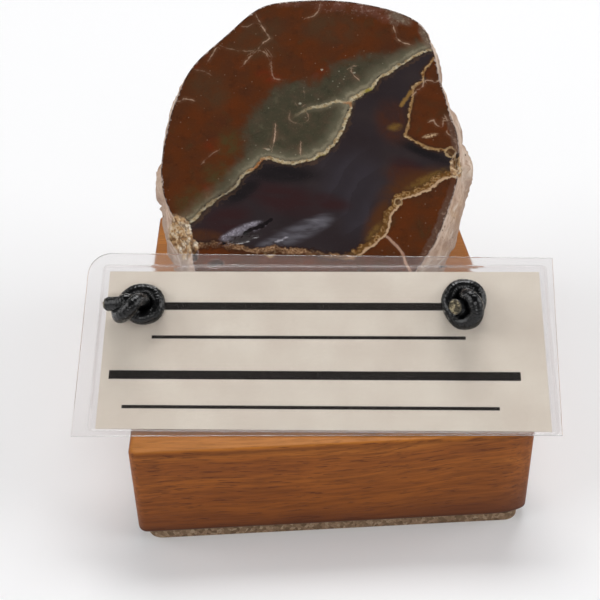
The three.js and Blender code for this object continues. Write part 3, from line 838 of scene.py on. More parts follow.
def oval_reach(places, middle, size, turn):
    """How far out each place lies in an oval: 0 in its middle and 1 on its edge."""
    angle = math.radians(turn)
    off = places - np.array(middle)
    x = (off[:, 0] * math.cos(angle) + off[:, 1] * math.sin(angle)) / size[0]
    y = (off[:, 1] * math.cos(angle) - off[:, 0] * math.sin(angle)) / size[1]
    return np.hypot(x, y)


def soft_ovals(places, ovals):
    """1 in the middle of any of the ovals, falling smoothly to 0 at their edges."""
    most = np.zeros(len(places))
    for oval in ovals:
        most = np.maximum(most, 1 - smoothly(oval_reach(places, *oval), 0.35, 1.25))
    return most


def vein(points):
    """A smooth line on the face through its points."""
    return np.array([list(p) for p in smooth_curve([(*p, 0) for p in points], VEIN_STEPS)])[:, :2]


def face_marks(places):
    """What the polished face's material needs at each place: distances from veins and soft patches."""
    upper, right, lower, bottom, green = (
        vein(line) for line in (UPPER_VEIN, RIGHT_VEIN, LOWER_VEIN, BOTTOM_BORDER, GREEN_EDGE)
    )
    lines = {
        "upper": upper, "branch": vein(BRANCH_VEIN), "right": right, "lower": lower, "bottom": bottom,
        "strip": vein(ORANGE_STRIP), "spur": vein(SPUR),
    }
    marks = {
        "agate": zone_depth(places, np.vstack([upper, right, lower, bottom[::-1]])),
        "green": zone_depth(places, np.vstack([green, upper[::-1]])),
    }
    for name, line in lines.items():
        marks[name] = line_offset(places, line)
        marks[name + "_near"] = 1 - smoothly(np.abs(marks[name]), *LINE_REACH)
    for name in ("strip", "spur"):
        marks[name] = np.abs(marks[name])
    marks["ring"] = np.full(len(places), RING_FAR)
    marks["ring_fill"] = np.zeros(len(places))
    for middle, radius in RINGS:
        out = np.hypot(*(places - np.array(middle)).T) - radius
        marks["ring"] = np.where(np.abs(out) < np.abs(marks["ring"]), out, marks["ring"])
        marks["ring_fill"] = np.maximum(marks["ring_fill"], 1 - smoothly(out, -0.3, 0.1))
    marks["crack"] = np.full(len(places), 1e9)
    marks["crack_share"] = np.zeros(len(places))
    for strength, points in CRACKS:
        offset = line_offset(places, vein(points))
        nearer = np.abs(offset) < np.abs(marks["crack"])
        marks["crack"] = np.where(nearer, offset, marks["crack"])
        share = strength * (1 - smoothly(np.abs(offset), 0.3, 0.8))
        marks["crack_share"] = np.where(nearer, share, marks["crack_share"])
    marks["branch_end"] = 1 - smoothly(-places[:, 0], *BRANCH_FADE)
    for name, ovals in PATCHES.items():
        marks[name] = soft_ovals(places, ovals)
    return marks


def stained(look, colour, stains):
    """Lays stains over a colour. Each has the pattern that shows it, the pattern's range, the least and
    most of the stain, the zones it keeps to and its own colour."""
    for pattern, low, high, least, most, zones, stain in stains:
        share = look.add("MapRange", {
            0: pattern, 1: low, 2: high, 3: least, 4: most,
        }, interpolation_type="SMOOTHSTEP")
        for zone in zones:
            share = look.add("Math", {0: share, 1: zone}, operation="MULTIPLY")
        colour = look.add("Mix", {0: share, 6: colour, 7: stain}, data_type="RGBA")
    return colour


def wandering(look, distance, noises, shift=0.0):
    """The distance in millimetres to a line that strays to and fro by half of each noise's reach: the
    signed one, and the plain one from a copy of the line that lies aside."""
    for noise, reach in noises:
        push = look.add("Math", {0: noise, 1: 0.5}, operation="SUBTRACT")
        distance = look.add("Math", {0: push, 1: reach, 2: distance}, operation="MULTIPLY_ADD")
    aside = look.add("Math", {0: distance, 1: shift}, operation="ADD")
    return distance, look.add("Math", {0: aside}, operation="ABSOLUTE")


def polished_face():
    """Sawn and polished on felt: red-brown jasper, green-grey jasper with a pale border, and dark
    translucent agate, with crinkled veins 0.2 to 0.8 mm wide between them. A mirror gloss, with bare
    drusy quartz and crumbly spots that the polish didn't reach."""
    look = Finish("polished jasper and agate")
    names = [*face_marks(np.zeros((1, 2))), "rim", "hollow"]
    mark = {name: look.add("Attribute", {}, out="Fac", attribute_name=name) for name in names}
    place = look.add("Attribute", {}, out="Vector", attribute_name="place")
    broad = look.add("TexNoise", {"Vector": place, "Scale": 1 / 5.5, "Detail": 4, "Roughness": 0.55})
    clouds = look.add("TexNoise", {
        "Vector": place, "Scale": 1 / 3.1, "Detail": 5, "Roughness": 0.65, "Distortion": 0.6,
    })
    mottle = look.add("TexNoise", {"Vector": place, "Scale": 1 / 1.9, "Detail": 5, "Roughness": 0.6})
    crinkle = look.add("TexNoise", {"Vector": place, "Scale": 1 / 0.75, "Detail": 4, "Roughness": 0.6})
    fine = look.add("TexNoise", {"Vector": place, "Scale": 1 / 0.28, "Detail": 3, "Roughness": 0.6})
    bubbles = look.add("TexVoronoi", {"Vector": place, "Scale": 1 / 0.75, "Randomness": 0.9}, out="Distance")
    dust = look.add("TexVoronoi", {"Vector": place, "Scale": 1 / 1.1}, out="Distance")
    dust_tint = look.add("TexVoronoi", {"Vector": place, "Scale": 1 / 1.1}, out="Color")
    chance = look.add("SeparateColor", {0: dust_tint}, out="Blue")
    flame_run = look.add("Mapping", {
        "Vector": place, "Rotation": (0, 0, math.radians(-24)), "Scale": (0.22, 1, 1),
    })
    flames = look.add("TexNoise", {"Vector": flame_run, "Scale": 1 / 1.3, "Detail": 3, "Distortion": 0.3})

    # jasper: red-brown with warmer, darker and olive clouds
    rare = look.add("MapRange", {0: chance, 1: 0.62, 2: 0.7, 3: 0, 4: 0.45})
    colour = look.add("ValToRGB", {0: broad}, stops=[
        (0.34, "#4a2815"), (0.66, "#5a2b0f"), (0.44, "#4f2a14"), (0.55, "#552a10"),
    ])
    colour = stained(look, colour, [
        (clouds, 0.54, 0.7, 0, 0.65, (), "#463019"),
        (clouds, 0.45, 0.32, 0, 0.6, (), "#5e2c10"),
        (mottle, 0.52, 0.72, 0, 0.5, (), "#3c200f"),
        (mottle, 0.38, 0.6, 0.1, 0.7, (mark["red_glow"],), "#68260d"),
        (mottle, 0.38, 0.6, 0.25, 0.95, (mark["olive"],), "#493a1f"),
        (clouds, 0.35, 0.6, 0.3, 0.85, (mark["umber"],), "#4a3320"),
        (fine, 0.58, 0.72, 0, 0.35, (), "#6d3f26"),
        (fine, 0.42, 0.28, 0, 0.4, (), "#35190b"),
        (dust, 0.14, 0.05, 0, 1, (rare,), "#8f745e"),
    ])

    # green-grey jasper between the red-brown and the upper vein
    in_green = look.add("MapRange", {0: mark["green"], 1: 0, 2: 1.5})
    common = look.add("MapRange", {0: chance, 1: 0.4, 2: 0.55, 3: 0, 4: 0.5})
    green_edge, _ = wandering(look, mark["green"], [(clouds, 4.2), (mottle, 2.6), (fine, 0.8)])
    green = look.add("ValToRGB", {0: mottle}, stops=[
        (0.3, "#3a362a"), (0.7, "#4f4334"), (0.44, "#423e2f"), (0.58, "#483f31"),
    ])
    colour = stained(look, colour, [
        (green_edge, -1.2, 1.4, 0, 1, (), green),
        (clouds, 0.46, 0.32, 0, 0.55, (in_green,), "#323326"),
        (clouds, 0.55, 0.7, 0, 0.5, (in_green,), "#5b5543"),
        (fine, 0.6, 0.74, 0, 0.4, (in_green,), "#7b745f"),
        (fine, 0.4, 0.27, 0, 0.5, (in_green,), "#292a1e"),
        (dust, 0.17, 0.07, 0, 1, (common, in_green), "#98917e"),
        (mark["pale_dots"], 0.45, 0.9, 0, 0.6, (), "#b9b39f"),
    ])

    # pale border along the upper vein
    outside = look.add("MapRange", {0: mark["agate"], 1: 0.3, 2: -0.1})
    full = look.add("MapRange", {0: mark["halo_gap"], 1: 0, 2: 1, 3: 1, 4: 0.4})
    halo, _ = wandering(look, mark["upper"], [(crinkle, 0.8), (clouds, 2.2), (fine, 0.5)])
    above = look.add("MapRange", {0: mark["upper"], 1: -0.2, 2: 0.0})
    colour = stained(look, colour, [
        (halo, 3.0, 0.2, 0, 0.5, (outside, above, full), "#827d68"),
        (halo, 1.3, 0.0, 0, 0.75, (outside, above, full), "#a39b82"),
    ])

    # agate
    drift = look.add("TexNoise", {"Vector": place, "Scale": 1 / 9, "Detail": 3})
    curtain, _ = wandering(look, mark["lower"], [(broad, 3.0), (clouds, 0.8)])
    curtain_run = look.add("CombineXYZ", {0: curtain})
    bands = look.add("TexWave", {
        "Vector": curtain_run, "Scale": 0.1, "Distortion": 0.0,
    }, out="Fac", wave_profile="SAW")
    agate = look.add("ValToRGB", {0: drift}, stops=[(0.3, "#2a2123"), (0.7, "#342b2b"), (0.5, "#2e2628")])
    agate = stained(look, agate, [
        (drift, 0.2, 0.8, 0.6, 0.8, (mark["slate"],), "#312c31"),
        (bands, 0.35, 1.0, 0, 0.28, (mark["slate"],), "#403b42"),
        (flames, 0.35, 0.6, 0.6, 0.95, (mark["maroon"],), "#331e1f"),
        (flames, 0.3, 0.7, 0.8, 1.0, (mark["night"],), "#1b1719"),
        (clouds, 0.35, 0.62, 0.45, 0.95, (mark["ember"],), "#46271b"),
        (clouds, 0.3, 0.6, 0.4, 1.0, (mark["rust"],), "#4f2e18"),
        (crinkle, 0.3, 0.6, 0.25, 0.85, (mark["amber"],), "#735628"),
        (flames, 0.4, 0.54, 0.45, 1.0, (mark["haze"],), "#5a575d"),
        (flames, 0.56, 0.66, 0, 0.75, (mark["haze"],), "#737076"),
        (mark["streak"], 0.2, 0.8, 0, 0.8, (), "#a39fa6"),
        (fine, 0.6, 0.75, 0, 0.12, (), "#6a6068"),
    ])
    edge, _ = wandering(look, mark["agate"], [(bubbles, 0.9), (crinkle, 0.5)])
    colour = stained(look, colour, [(edge, -0.1, 0.06, 0, 1, (), agate)])

    # the upper vein and its branch: pale chalcedony, crinkled, with a brown lip on the agate side
    tone = look.add("ValToRGB", {0: crinkle}, stops=[
        (0.3, "#7d5f3d"), (0.7, "#d6ccb2"), (0.42, "#a08a66"), (0.54, "#beae8e"),
    ])
    tone = stained(look, tone, [
        (fine, 0.42, 0.3, 0, 0.6, (), "#5a452e"),
        (fine, 0.3, 0.6, 0.4, 1.0, (mark["orange"],), "#9a571c"),
        (fine, 0.3, 0.6, 0.3, 1.0, (mark["lime"],), "#94863a"),
    ])
    _, core = wandering(look, mark["upper"], [(crinkle, 0.7), (mottle, 0.5), (fine, 0.3)])
    core, _ = wandering(look, core, [(clouds, 0.7), (crinkle, 0.3)])
    _, lip = wandering(look, mark["upper"], [(crinkle, 1.3), (bubbles, -0.7)], 0.7)
    steady = look.add("MapRange", {0: mottle, 1: 0.3, 2: 0.5, 3: 0.5, 4: 1.0})
    patchy = look.add("MapRange", {0: clouds, 1: 0.4, 2: 0.58, 3: 0.15, 4: 1.0})
    thin = look.add("MapRange", {0: mark["halo_gap"], 1: 0, 2: 1, 3: 1, 4: 0.6})
    colour = stained(look, colour, [
        (core, 0.8, 0.3, 0, 0.6, (mark["upper_near"],), "#33271e"),
        (lip, 0.36, 0.1, 0, 0.35, (patchy, mark["upper_near"]), "#5d4530"),
        (core, 0.36, 0.1, 0, 1, (steady, thin, mark["upper_near"]), tone),
    ])
    _, core = wandering(look, mark["branch"], [(crinkle, 0.8), (fine, 0.3)])
    colour = stained(look, colour, [
        (core, 1.2, 0.0, 0, 0.4, (mark["branch_end"], mark["branch_near"]), "#847d68"),
        (core, 0.4, 0.1, 0, 0.85, (mark["branch_end"], mark["branch_near"], steady), tone),
    ])

    # the vein round the right piece of jasper
    tone = look.add("ValToRGB", {0: crinkle}, stops=[(0.32, "#6f4823"), (0.68, "#bfa47d"), (0.5, "#9d7a50")])
    tone = stained(look, tone, [
        (fine, 0.42, 0.3, 0, 0.6, (), "#5b3a20"),
        (fine, 0.2, 0.6, 0.4, 1.0, (mark["orange"],), "#9c632b"),
    ])
    _, core = wandering(look, mark["right"], [(crinkle, 0.9), (fine, 0.3)])
    core, _ = wandering(look, core, [(mottle, 0.5)])
    _, strip = wandering(look, mark["strip"], [(crinkle, 0.6), (fine, 0.3)])
    _, ring = wandering(look, mark["ring"], [(crinkle, 0.9), (fine, 0.3)])
    colour = stained(look, colour, [
        (core, 0.8, 0.25, 0, 0.6, (mark["right_near"],), "#3a2417"),
        (core, 0.32, 0.08, 0, 1, (steady, mark["right_near"]), tone),
        (strip, 0.5, 0.1, 0, 0.85, (mark["strip_near"],), "#8c6a38"),
    ])
    _, spur = wandering(look, mark["spur"], [(crinkle, 0.35), (fine, 0.15)])
    colour = stained(look, colour, [
        (spur, 0.6, 0.2, 0, 0.4, (mark["spur_near"],), "#5a3a2a"),
        (spur, 0.27, 0.1, 0, 0.9, (mark["spur_near"],), tone),
        (spur, 0.3, 0.1, 0, 0.5, (mark["spur_near"],), "#b9958a"),
    ])

    # the lower vein froths into bubbles with dark middles, with a cream line on the jasper side
    _, band = wandering(look, mark["lower"], [(crinkle, 1.4), (bubbles, -0.5)], 0.2)
    _, pale = wandering(look, mark["lower"], [(crinkle, 0.9), (fine, 0.2)], -0.3)
    froth = look.add("ValToRGB", {0: bubbles}, stops=[
        (0.08, "#4a2f18"), (0.62, "#664826"), (0.24, "#775630"), (0.42, "#a68559"),
    ])
    froth = stained(look, froth, [
        (fine, 0.45, 0.66, 0, 0.85, (), "#744719"),
        (clouds, 0.5, 0.66, 0, 0.7, (), "#5d3d1c"),
    ])
    colour = stained(look, colour, [
        (band, 1.05, 0.5, 0, 0.6, (mark["lower_near"],), "#3a2212"),
        (band, 0.72, 0.36, 0, 1, (mark["lower_near"],), froth),
        (pale, 0.26, 0.07, 0, 1, (steady, mark["lower_near"]), "#bd9d7c"),
        (mark["ring_fill"], 0.2, 0.8, 0, 0.8, (), "#4f3520"),
        (ring, 0.22, 0.06, 0, 0.7, (steady,), "#b99c74"),
    ])

    # the crumbled border below the agate
    _, band = wandering(look, mark["bottom"], [(crinkle, 1.3), (bubbles, -0.5), (fine, 0.4)], 0.25)
    tone = look.add("ValToRGB", {0: fine}, stops=[
        (0.3, "#3c2617"), (0.72, "#d0b59a"), (0.45, "#7a573c"), (0.58, "#a5815f"),
    ])
    colour = stained(look, colour, [
        (band, 1.0, 0.5, 0, 0.6, (mark["bottom_near"],), "#2d1b12"),
        (band, 0.56, 0.28, 0, 1, (patchy, mark["bottom_near"]), tone),
    ])

    # healed cracks
    _, line = wandering(look, mark["crack"], [(crinkle, 0.55), (fine, 0.25)])
    broken = look.add("MapRange", {0: mottle, 1: 0.42, 2: 0.56, 3: 0.12, 4: 1.0})
    colour = stained(look, colour, [
        (line, 1.0, 0.0, 0, 0.32, (mark["crack_share"], broken), "#7d5f4a"),
        (line, 0.17, 0.02, 0, 0.75, (mark["crack_share"], broken), "#bd9f87"),
        (fine, 0.35, 0.6, 0, 1, (mark["pale_blob"],), "#c9aa86"),
    ])

    # rim, where the rind begins
    pink_reach, _ = wandering(look, mark["rim"], [(clouds, 4.0), (mottle, 2.0)])
    pink = look.add("MapRange", {0: pink_reach, 1: 3.0, 2: 0.8})
    grey_reach, _ = wandering(look, mark["rim"], [(mottle, 4.0)])
    grey = look.add("MapRange", {0: grey_reach, 1: 3.2, 2: 1.4})
    wall, _ = wandering(look, mark["rim"], [(crinkle, 0.9), (mottle, 0.8)])
    wall_share = look.add("MapRange", {0: wall, 1: 1.2, 2: 0.7})
    chips, _ = wandering(look, mark["rim"], [(crinkle, 1.1), (fine, 0.4)])
    chipped = look.add("MapRange", {0: mottle, 1: 0.42, 2: 0.55})
    colour = stained(look, colour, [
        (mottle, 0.38, 0.58, 0.2, 0.85, (pink, mark["pink_rim"]), "#6b4437"),
        (crinkle, 0.52, 0.68, 0, 0.7, (pink, mark["pink_rim"]), "#94776b"),
        (mottle, 0.34, 0.55, 0.3, 1.0, (grey, mark["grey_rim"]), "#6b5a4c"),
        (crinkle, 0.5, 0.66, 0, 0.8, (grey, mark["grey_rim"]), "#8f7f6d"),
        (crinkle, 0.44, 0.32, 0, 0.6, (grey, mark["grey_rim"]), "#42322a"),
        (wall, 1.3, 0.9, 0, 0.85, (mark["grey_wall"],), "#5c4438"),
        (crinkle, 0.52, 0.66, 0, 0.7, (mark["grey_wall"], wall_share), "#8b7263"),
        (mark["rim"], 0.34, 0.06, 0, 0.65, (), "#2e2019"),
        (chips, 0.22, 0.0, 0, 1, (chipped,), "#b3a094"),
    ])

    # open druse
    sparkle = look.add("TexVoronoi", {"Vector": place, "Scale": 1 / 0.24}, out="Color")
    facet = look.add("SeparateColor", {0: sparkle}, out="Red")
    quartz = look.add("ValToRGB", {0: facet}, stops=[
        (0, "#605a64"), (1, "#a09aa4"), (0.3, "#716b74"), (0.7, "#837d87"),
    ])
    colour = stained(look, colour, [
        (flames, 0.34, 0.5, 0, 1, (mark["druse"],), quartz),
        (crinkle, 0.5, 0.56, 0, 1, (mark["druse_gaps"],), "#191315"),
        (crinkle, 0.47, 0.4, 0, 0.8, (mark["druse_gaps"],), "#77717a"),
        (mark["druse_specks"], 0.3, 0.6, 0, 1, (), "#171113"),
        # painted shade: the hollows in the face are darkened towards near-black brown
        (fine, 0.42, 0.6, 0.3, 1.0, (mark["hollow"],), "#241a15"),
    ])

    # crumbly quartz and ochre where the agate meets the rind
    inwards = look.add("MapRange", {0: mark["rim"], 1: 2.2, 2: 0.6})
    crumbly = look.add("Math", {0: mark["crumbs"], 1: inwards}, operation="MULTIPLY")
    ragged, _ = wandering(look, crumbly, [(crinkle, 0.8)])
    colour = stained(look, colour, [(ragged, 0.35, 0.55, 0, 1, (), crumbly_colour(look, place))])

    crystals_bare = look.add("Math", {0: mark["druse"], 1: 0.6}, operation="MULTIPLY")
    crumbs_bare = look.add("MapRange", {0: crumbly, 1: 0.35, 2: 0.6})
    chips_bare = look.add("MapRange", {0: chips, 1: 0.28, 2: 0.02, 3: 0, 4: 0.6})
    bare = mark["hollow"]
    for spot in (crystals_bare, crumbs_bare, chips_bare):
        bare = look.add("Math", {0: bare, 1: spot}, operation="MAXIMUM")
    gloss = look.add("MapRange", {0: bare, 1: 0, 2: 1, 3: 0.12, 4: 0.62})
    crystals = look.add("Bump", {"Height": facet, "Strength": bare, "Distance": 0.1 * MM})
    return show(look, look.add("BsdfPrincipled", {
        "Base Color": colour, "Roughness": gloss, "IOR": 1.54, "Normal": crystals,
    }))


def crumbly_colour(look, place):
    """Loose quartz, chalk and iron ochre in grains of about 0.5 mm with dark gaps."""
    grains = look.add("TexVoronoi", {"Vector": place, "Scale": 1 / 0.55}, out="Color")
    gaps = look.add("TexVoronoi", {"Vector": place, "Scale": 1 / 0.55}, out="Distance")
    grain = look.add("SeparateColor", {0: grains}, out="Green")
    patch = look.add("TexNoise", {"Vector": place, "Scale": 1 / 1.3, "Detail": 4, "Roughness": 0.65})
    mixed = look.add("Math", {0: grain, 1: 0.22, 2: patch}, operation="MULTIPLY_ADD")
    colour = look.add("ValToRGB", {0: mixed}, stops=[
        (0.38, "#53361f"), (0.88, "#efe6d8"), (0.48, "#93693f"), (0.58, "#b99467"), (0.7, "#d3bd9e"),
    ])
    return stained(look, colour, [(gaps, 0.5, 0.7, 0, 0.6, (), "#5b3d28")])


def rind():
    """Weathered rhyolite shell: chalky pink-beige, crumbling in layers about 1.5 mm thick, with brown
    iron stains, dark pits of about 0.5 mm and grey patches. Matt and rough."""
    look = Finish("weathered rhyolite rind")
    place = look.add("Attribute", {}, out="Vector", attribute_name="place")
    crumbs = look.add("Attribute", {}, out="Fac", attribute_name="crumbs")
    depth = look.add("SeparateXYZ", {0: place}, out="Z")
    knobs = look.add("TexNoise", {"Vector": place, "Scale": 1 / 3.4, "Detail": 6, "Roughness": 0.62})
    layered = look.add("VectorMath", {0: place, 1: (1, 1, 2.2)}, operation="MULTIPLY")
    broad = look.add("TexNoise", {"Vector": place, "Scale": 1 / 7, "Detail": 4, "Roughness": 0.6})
    mottle = look.add("TexNoise", {"Vector": layered, "Scale": 1 / 2.2, "Detail": 5, "Roughness": 0.65})
    grit = look.add("TexNoise", {"Vector": place, "Scale": 1 / 0.5, "Detail": 4, "Roughness": 0.7})
    pits = look.add("TexVoronoi", {"Vector": place, "Scale": 1 / 1.1, "Randomness": 1.0}, out="Distance")
    streak_run = look.add("VectorMath", {0: place, 1: (0.35, 0.35, 2.6)}, operation="MULTIPLY")
    streaks = look.add("TexNoise", {"Vector": streak_run, "Scale": 1 / 1.6, "Detail": 4, "Distortion": 0.4})
    pitted = look.add("MapRange", {0: mottle, 1: 0.48, 2: 0.6})
    old = look.add("MapRange", {0: depth, 1: -6, 2: -14})
    fresh = look.add("MapRange", {0: depth, 1: -10, 2: -4, 3: 0.1, 4: 1.0})
    colour = look.add("ValToRGB", {0: mottle}, stops=[
        (0.28, "#a28674"), (0.72, "#dac3b0"), (0.42, "#bda28f"), (0.55, "#cab09c"),
    ])
    colour = stained(look, colour, [
        (broad, 0.5, 0.68, 0, 0.5, (), "#c4b7aa"),
        (depth, -1.8, -3.6, 0, 0.5, (), "#978175"),
        (broad, 0.45, 0.3, 0, 0.4, (), "#b58e64"),
        (streaks, 0.52, 0.68, 0, 0.5, (fresh,), "#9c7a66"),
        (streaks, 0.46, 0.32, 0, 0.5, (fresh,), "#eadccd"),
        (knobs, 0.35, 0.62, 0.2, 0.8, (old,), "#83604a"),
        (knobs, 0.45, 0.3, 0, 0.6, (old,), "#bfa58f"),
        (grit, 0.6, 0.72, 0, 0.5, (), "#7d6352"),
        (grit, 0.4, 0.28, 0, 0.5, (), "#efe1d3"),
        (pits, 0.2, 0.07, 0, 1, (pitted,), "#4f3b2b"),
        (crumbs, 0.25, 0.6, 0, 0.95, (), crumbly_colour(look, place)),
    ])
    hole = look.add("MapRange", {0: pits, 1: 0.2, 2: 0.07})
    hole = look.add("Math", {0: hole, 1: pitted}, operation="MULTIPLY")
    low = look.add("Bump", {"Height": mottle, "Strength": 0.6, "Distance": 0.5 * MM})
    holes = look.add("Bump", {
        "Height": hole, "Strength": 0.6, "Distance": 0.3 * MM, "Normal": low,
    }, invert=True)
    rough = look.add("Bump", {"Height": grit, "Strength": 0.7, "Distance": 0.18 * MM, "Normal": holes})
    return show(look, look.add("BsdfPrincipled", {
        "Base Color": colour, "Roughness": 0.88, "Specular IOR Level": 0.25, "Normal": rough,
    }))


def stone():
    """The nodule behind the cut, the polished face as a fine net, and the seat on the block."""
    traced = smooth_curve([(*p, 0) for p in FACE_OUTLINE], RIM_STEPS, closed=True)
    rim = spaced(traced, STONE_AROUND, closed=True)
    angle = np.degrees(np.arctan2(rim[:, 1], rim[:, 0]))
    swell = 1 / math.sqrt(1 - (GIRTH_DEPTH / BACK_DEPTH) ** 2)
    first = -math.asin(GIRTH_DEPTH / BACK_DEPTH)
    rows = []
    for row in range(STONE_ROWS):
        turn = first + (math.pi / 2 - first) * row / STONE_ROWS
        depth = GIRTH_DEPTH + BACK_DEPTH * math.sin(turn)
        ring = rim * swell * math.cos(turn)
        ring[:, 2] = -depth
        out = ring + np.array([0, 0, GIRTH_DEPTH])
        out /= np.linalg.norm(out, axis=1)[:, None]
        ring = ring + out * rind_height(ring, np.full(STONE_AROUND, depth), angle)[:, None]
        if row == 0:
            ring[:, 2] = 0
        rows.append(ring)
    points = np.vstack(rows + [np.array([[0, 0, -GIRTH_DEPTH - BACK_DEPTH]])])
    faces = []
    for row in range(STONE_ROWS - 1):
        for i in range(STONE_AROUND):
            k = (i + 1) % STONE_AROUND
            a = row * STONE_AROUND
            b = a + STONE_AROUND
            faces.append((a + i, b + i, b + k, a + k))
    back = STONE_ROWS * STONE_AROUND
    last = back - STONE_AROUND
    faces += [(last + i, back, last + (i + 1) % STONE_AROUND) for i in range(STONE_AROUND)]

    # the polished face: a fine even net inside the rim
    outline = rows[0][:, :2]
    low, high = outline.min(axis=0), outline.max(axis=0)
    net = []
    rise = FACE_GRID * math.sqrt(3) / 2
    for j in range(int((high[1] - low[1]) / rise) + 1):
        start = low[0] + (FACE_GRID / 2 if j % 2 else 0)
        net += [(x, low[1] + j * rise) for x in np.arange(start, high[0], FACE_GRID)]
    net = np.array(net)
    net = net[zone_depth(net, outline) > NET_MARGIN]
    flat = [Vector(p) for p in outline] + [Vector(p) for p in net]
    rim_edges = [(i, (i + 1) % STONE_AROUND) for i in range(STONE_AROUND)]
    made = delaunay_2d_cdt(flat, rim_edges, [], 1, 1e-6)
    sources = [origin[0] for origin in made[3]]
    offset = len(points)
    lowered = np.zeros(len(net))
    wander = 1 + 0.3 * lumpy(np.column_stack([net / 0.8, np.full(len(net), 3.0)]))
    for middle, size, depth, turn in HOLLOWS:
        reach = oval_reach(net, middle, size, turn) * wander
        lowered = np.maximum(lowered, depth * np.sqrt(np.clip(1 - reach ** 2, 0, None)))
    lowered *= 1 - 0.35 * np.abs(lumpy(np.column_stack([net / 0.45, np.full(len(net), 9.0)])))
    points = np.vstack([points, np.column_stack([net, -lowered])])

    def index(source):
        return source if source < STONE_AROUND else offset + source - STONE_AROUND

    cap_start = len(faces)
    faces += [tuple(index(sources[v]) for v in corner) for corner in made[2]]
    world = placed(points, FACE_FRAME)
    thing = piece("thunderegg_stone", world, faces, ["thunderegg"], [polished_face(), rind()])
    mesh = thing.data
    mesh.polygons.foreach_set("material_index", [1] * cap_start + [0] * (len(faces) - cap_start))

    # sits flat on the block
    cut = bmesh.new()
    cut.from_mesh(mesh)
    geometry = cut.verts[:] + cut.edges[:] + cut.faces[:]
    bmesh.ops.bisect_plane(
        cut, geom=geometry, plane_co=(0, 0, BLOCK_TOP * MM), plane_no=(0, 0, -1), clear_outer=True,
    )
    seat = bmesh.ops.triangle_fill(cut, edges=[e for e in cut.edges if e.is_boundary], use_beauty=True)
    for face in seat["geom"]:
        if isinstance(face, bmesh.types.BMFace):
            face.material_index = 1
    bmesh.ops.recalc_face_normals(cut, faces=cut.faces)
    for edge in cut.edges:
        if len({face.material_index for face in edge.link_faces}) == 2:
            edge.smooth = False
    cut.to_mesh(mesh)
    cut.free()

    back_to_face = FACE_FRAME.inverted()
    co = np.empty(len(mesh.vertices) * 3)
    mesh.vertices.foreach_get("co", co)
    local = co.reshape(-1, 3) / MM @ np.array(back_to_face.to_3x3()).T + np.array(back_to_face.translation)
    marks = face_marks(local[:, :2])
    marks["rim"] = zone_depth(local[:, :2], outline)
    marks["hollow"] = smoothly(-local[:, 2], 0.05, 0.35) * (marks["rim"] > 0.02)
    marks["crumbs"] = marks["crumbs"] * (1 - smoothly(-local[:, 2], 2.5, 6))
    for name, values in marks.items():
        mesh.attributes.new(name, "FLOAT", "POINT").data.foreach_set("value", values.astype(np.float32))
    place = mesh.attributes.new("place", "FLOAT_VECTOR", "POINT")
    place.data.foreach_set("vector", local.astype(np.float32).ravel())


stone()


# Card

# Printed rules: first and last place along the paper, height above its foot, thickness
RULES = [(8.4, 49, 18.4, 1.2), (6.9, 51.8, 13.6, 0.5), (1.2, 59.2, 7.9, 1.3), (3.4, 56, 3.2, 0.5)]
# Outlines round the paper: gap at its sides and top, gap at its foot, radius of the corners
WELD = (1.15, 0.4, 0.8)  # the sheets only meet this far outside the paper
POCKET = (0.06, 0.06, 0.05)
OVER_PAPER = (0.65, 0.1, 0.3)
STEP_FOOT = (1.0, 0.3, 0.5)
WELD_OPENING = 0.012  # half of what stays open at the weld
FILM_STEP = 0.08  # the margin lies this much lower than the film over the paper
FILM_ROUNDING = 0.09
FILM_ARC_STEPS = 12
POCKET_ARC_STEPS = 6
HOLE_SIDES = 48
FUSED_CLEARNESS = 0.965


def printed_paper():
    """Pale pink-beige copy paper, printed with plain black rules: two heavy and two fine."""
    look = Finish("laser printed paper")
    spot = look.add("TexCoord", out="Object")
    place = look.add("Mapping", {
        "Vector": spot,
        "Location": CARD_FRAME.translation * MM,
        "Rotation": CARD_FRAME.to_euler("XYZ"),
        "Scale": (MM, MM, MM),
    }, vector_type="TEXTURE")
    cloud = look.add("TexNoise", {"Vector": place, "Scale": 1 / 9, "Detail": 3})
    fibre = look.add("TexNoise", {"Vector": place, "Scale": 1 / 0.35, "Detail": 4})
    tint = look.add("Mix", {
        0: look.add("MapRange", {0: cloud, 1: 0.35, 2: 0.65}), 6: "#c6bdb1", 7: "#cfc8bc",
    }, data_type="RGBA")
    colour = look.add("Mix", {
        0: look.add("MapRange", {0: fibre, 1: 0.35, 2: 0.7, 3: 0, 4: 0.2}), 6: tint, 7: "#b8ada1",
    }, data_type="RGBA")
    u = look.add("SeparateXYZ", {0: place}, out="X")
    v = look.add("SeparateXYZ", {0: place}, out="Y")
    rough_edge = look.add("TexNoise", {"Vector": place, "Scale": 6, "Detail": 2})
    for first, last, height, thickness in RULES:
        from_middle = look.add("Math", {
            0: look.add("Math", {0: u, 1: (first + last) / 2}, operation="SUBTRACT"),
        }, operation="ABSOLUTE")
        from_line = look.add("Math", {
            0: look.add("Math", {0: v, 1: height}, operation="SUBTRACT"),
        }, operation="ABSOLUTE")
        past = look.add("Math", {
            0: look.add("Math", {0: from_middle, 1: (last - first) / 2}, operation="SUBTRACT"),
            1: look.add("Math", {0: from_line, 1: thickness / 2}, operation="SUBTRACT"),
        }, operation="MAXIMUM")
        wavering = look.add("Math", {0: rough_edge, 1: 0.08, 2: past}, operation="MULTIPLY_ADD")
        ink = look.add("MapRange", {0: wavering, 1: 0.08, 2: 0.0})
        colour = look.add("Mix", {0: ink, 6: colour, 7: "#181310"}, data_type="RGBA")
    weave = look.add("Bump", {"Height": fibre, "Strength": 0.2, "Distance": 0.02 * MM})
    return show(look, look.add("BsdfPrincipled", {
        "Base Color": colour, "Roughness": 0.85, "Specular IOR Level": 0.2, "Normal": weave,
    }))


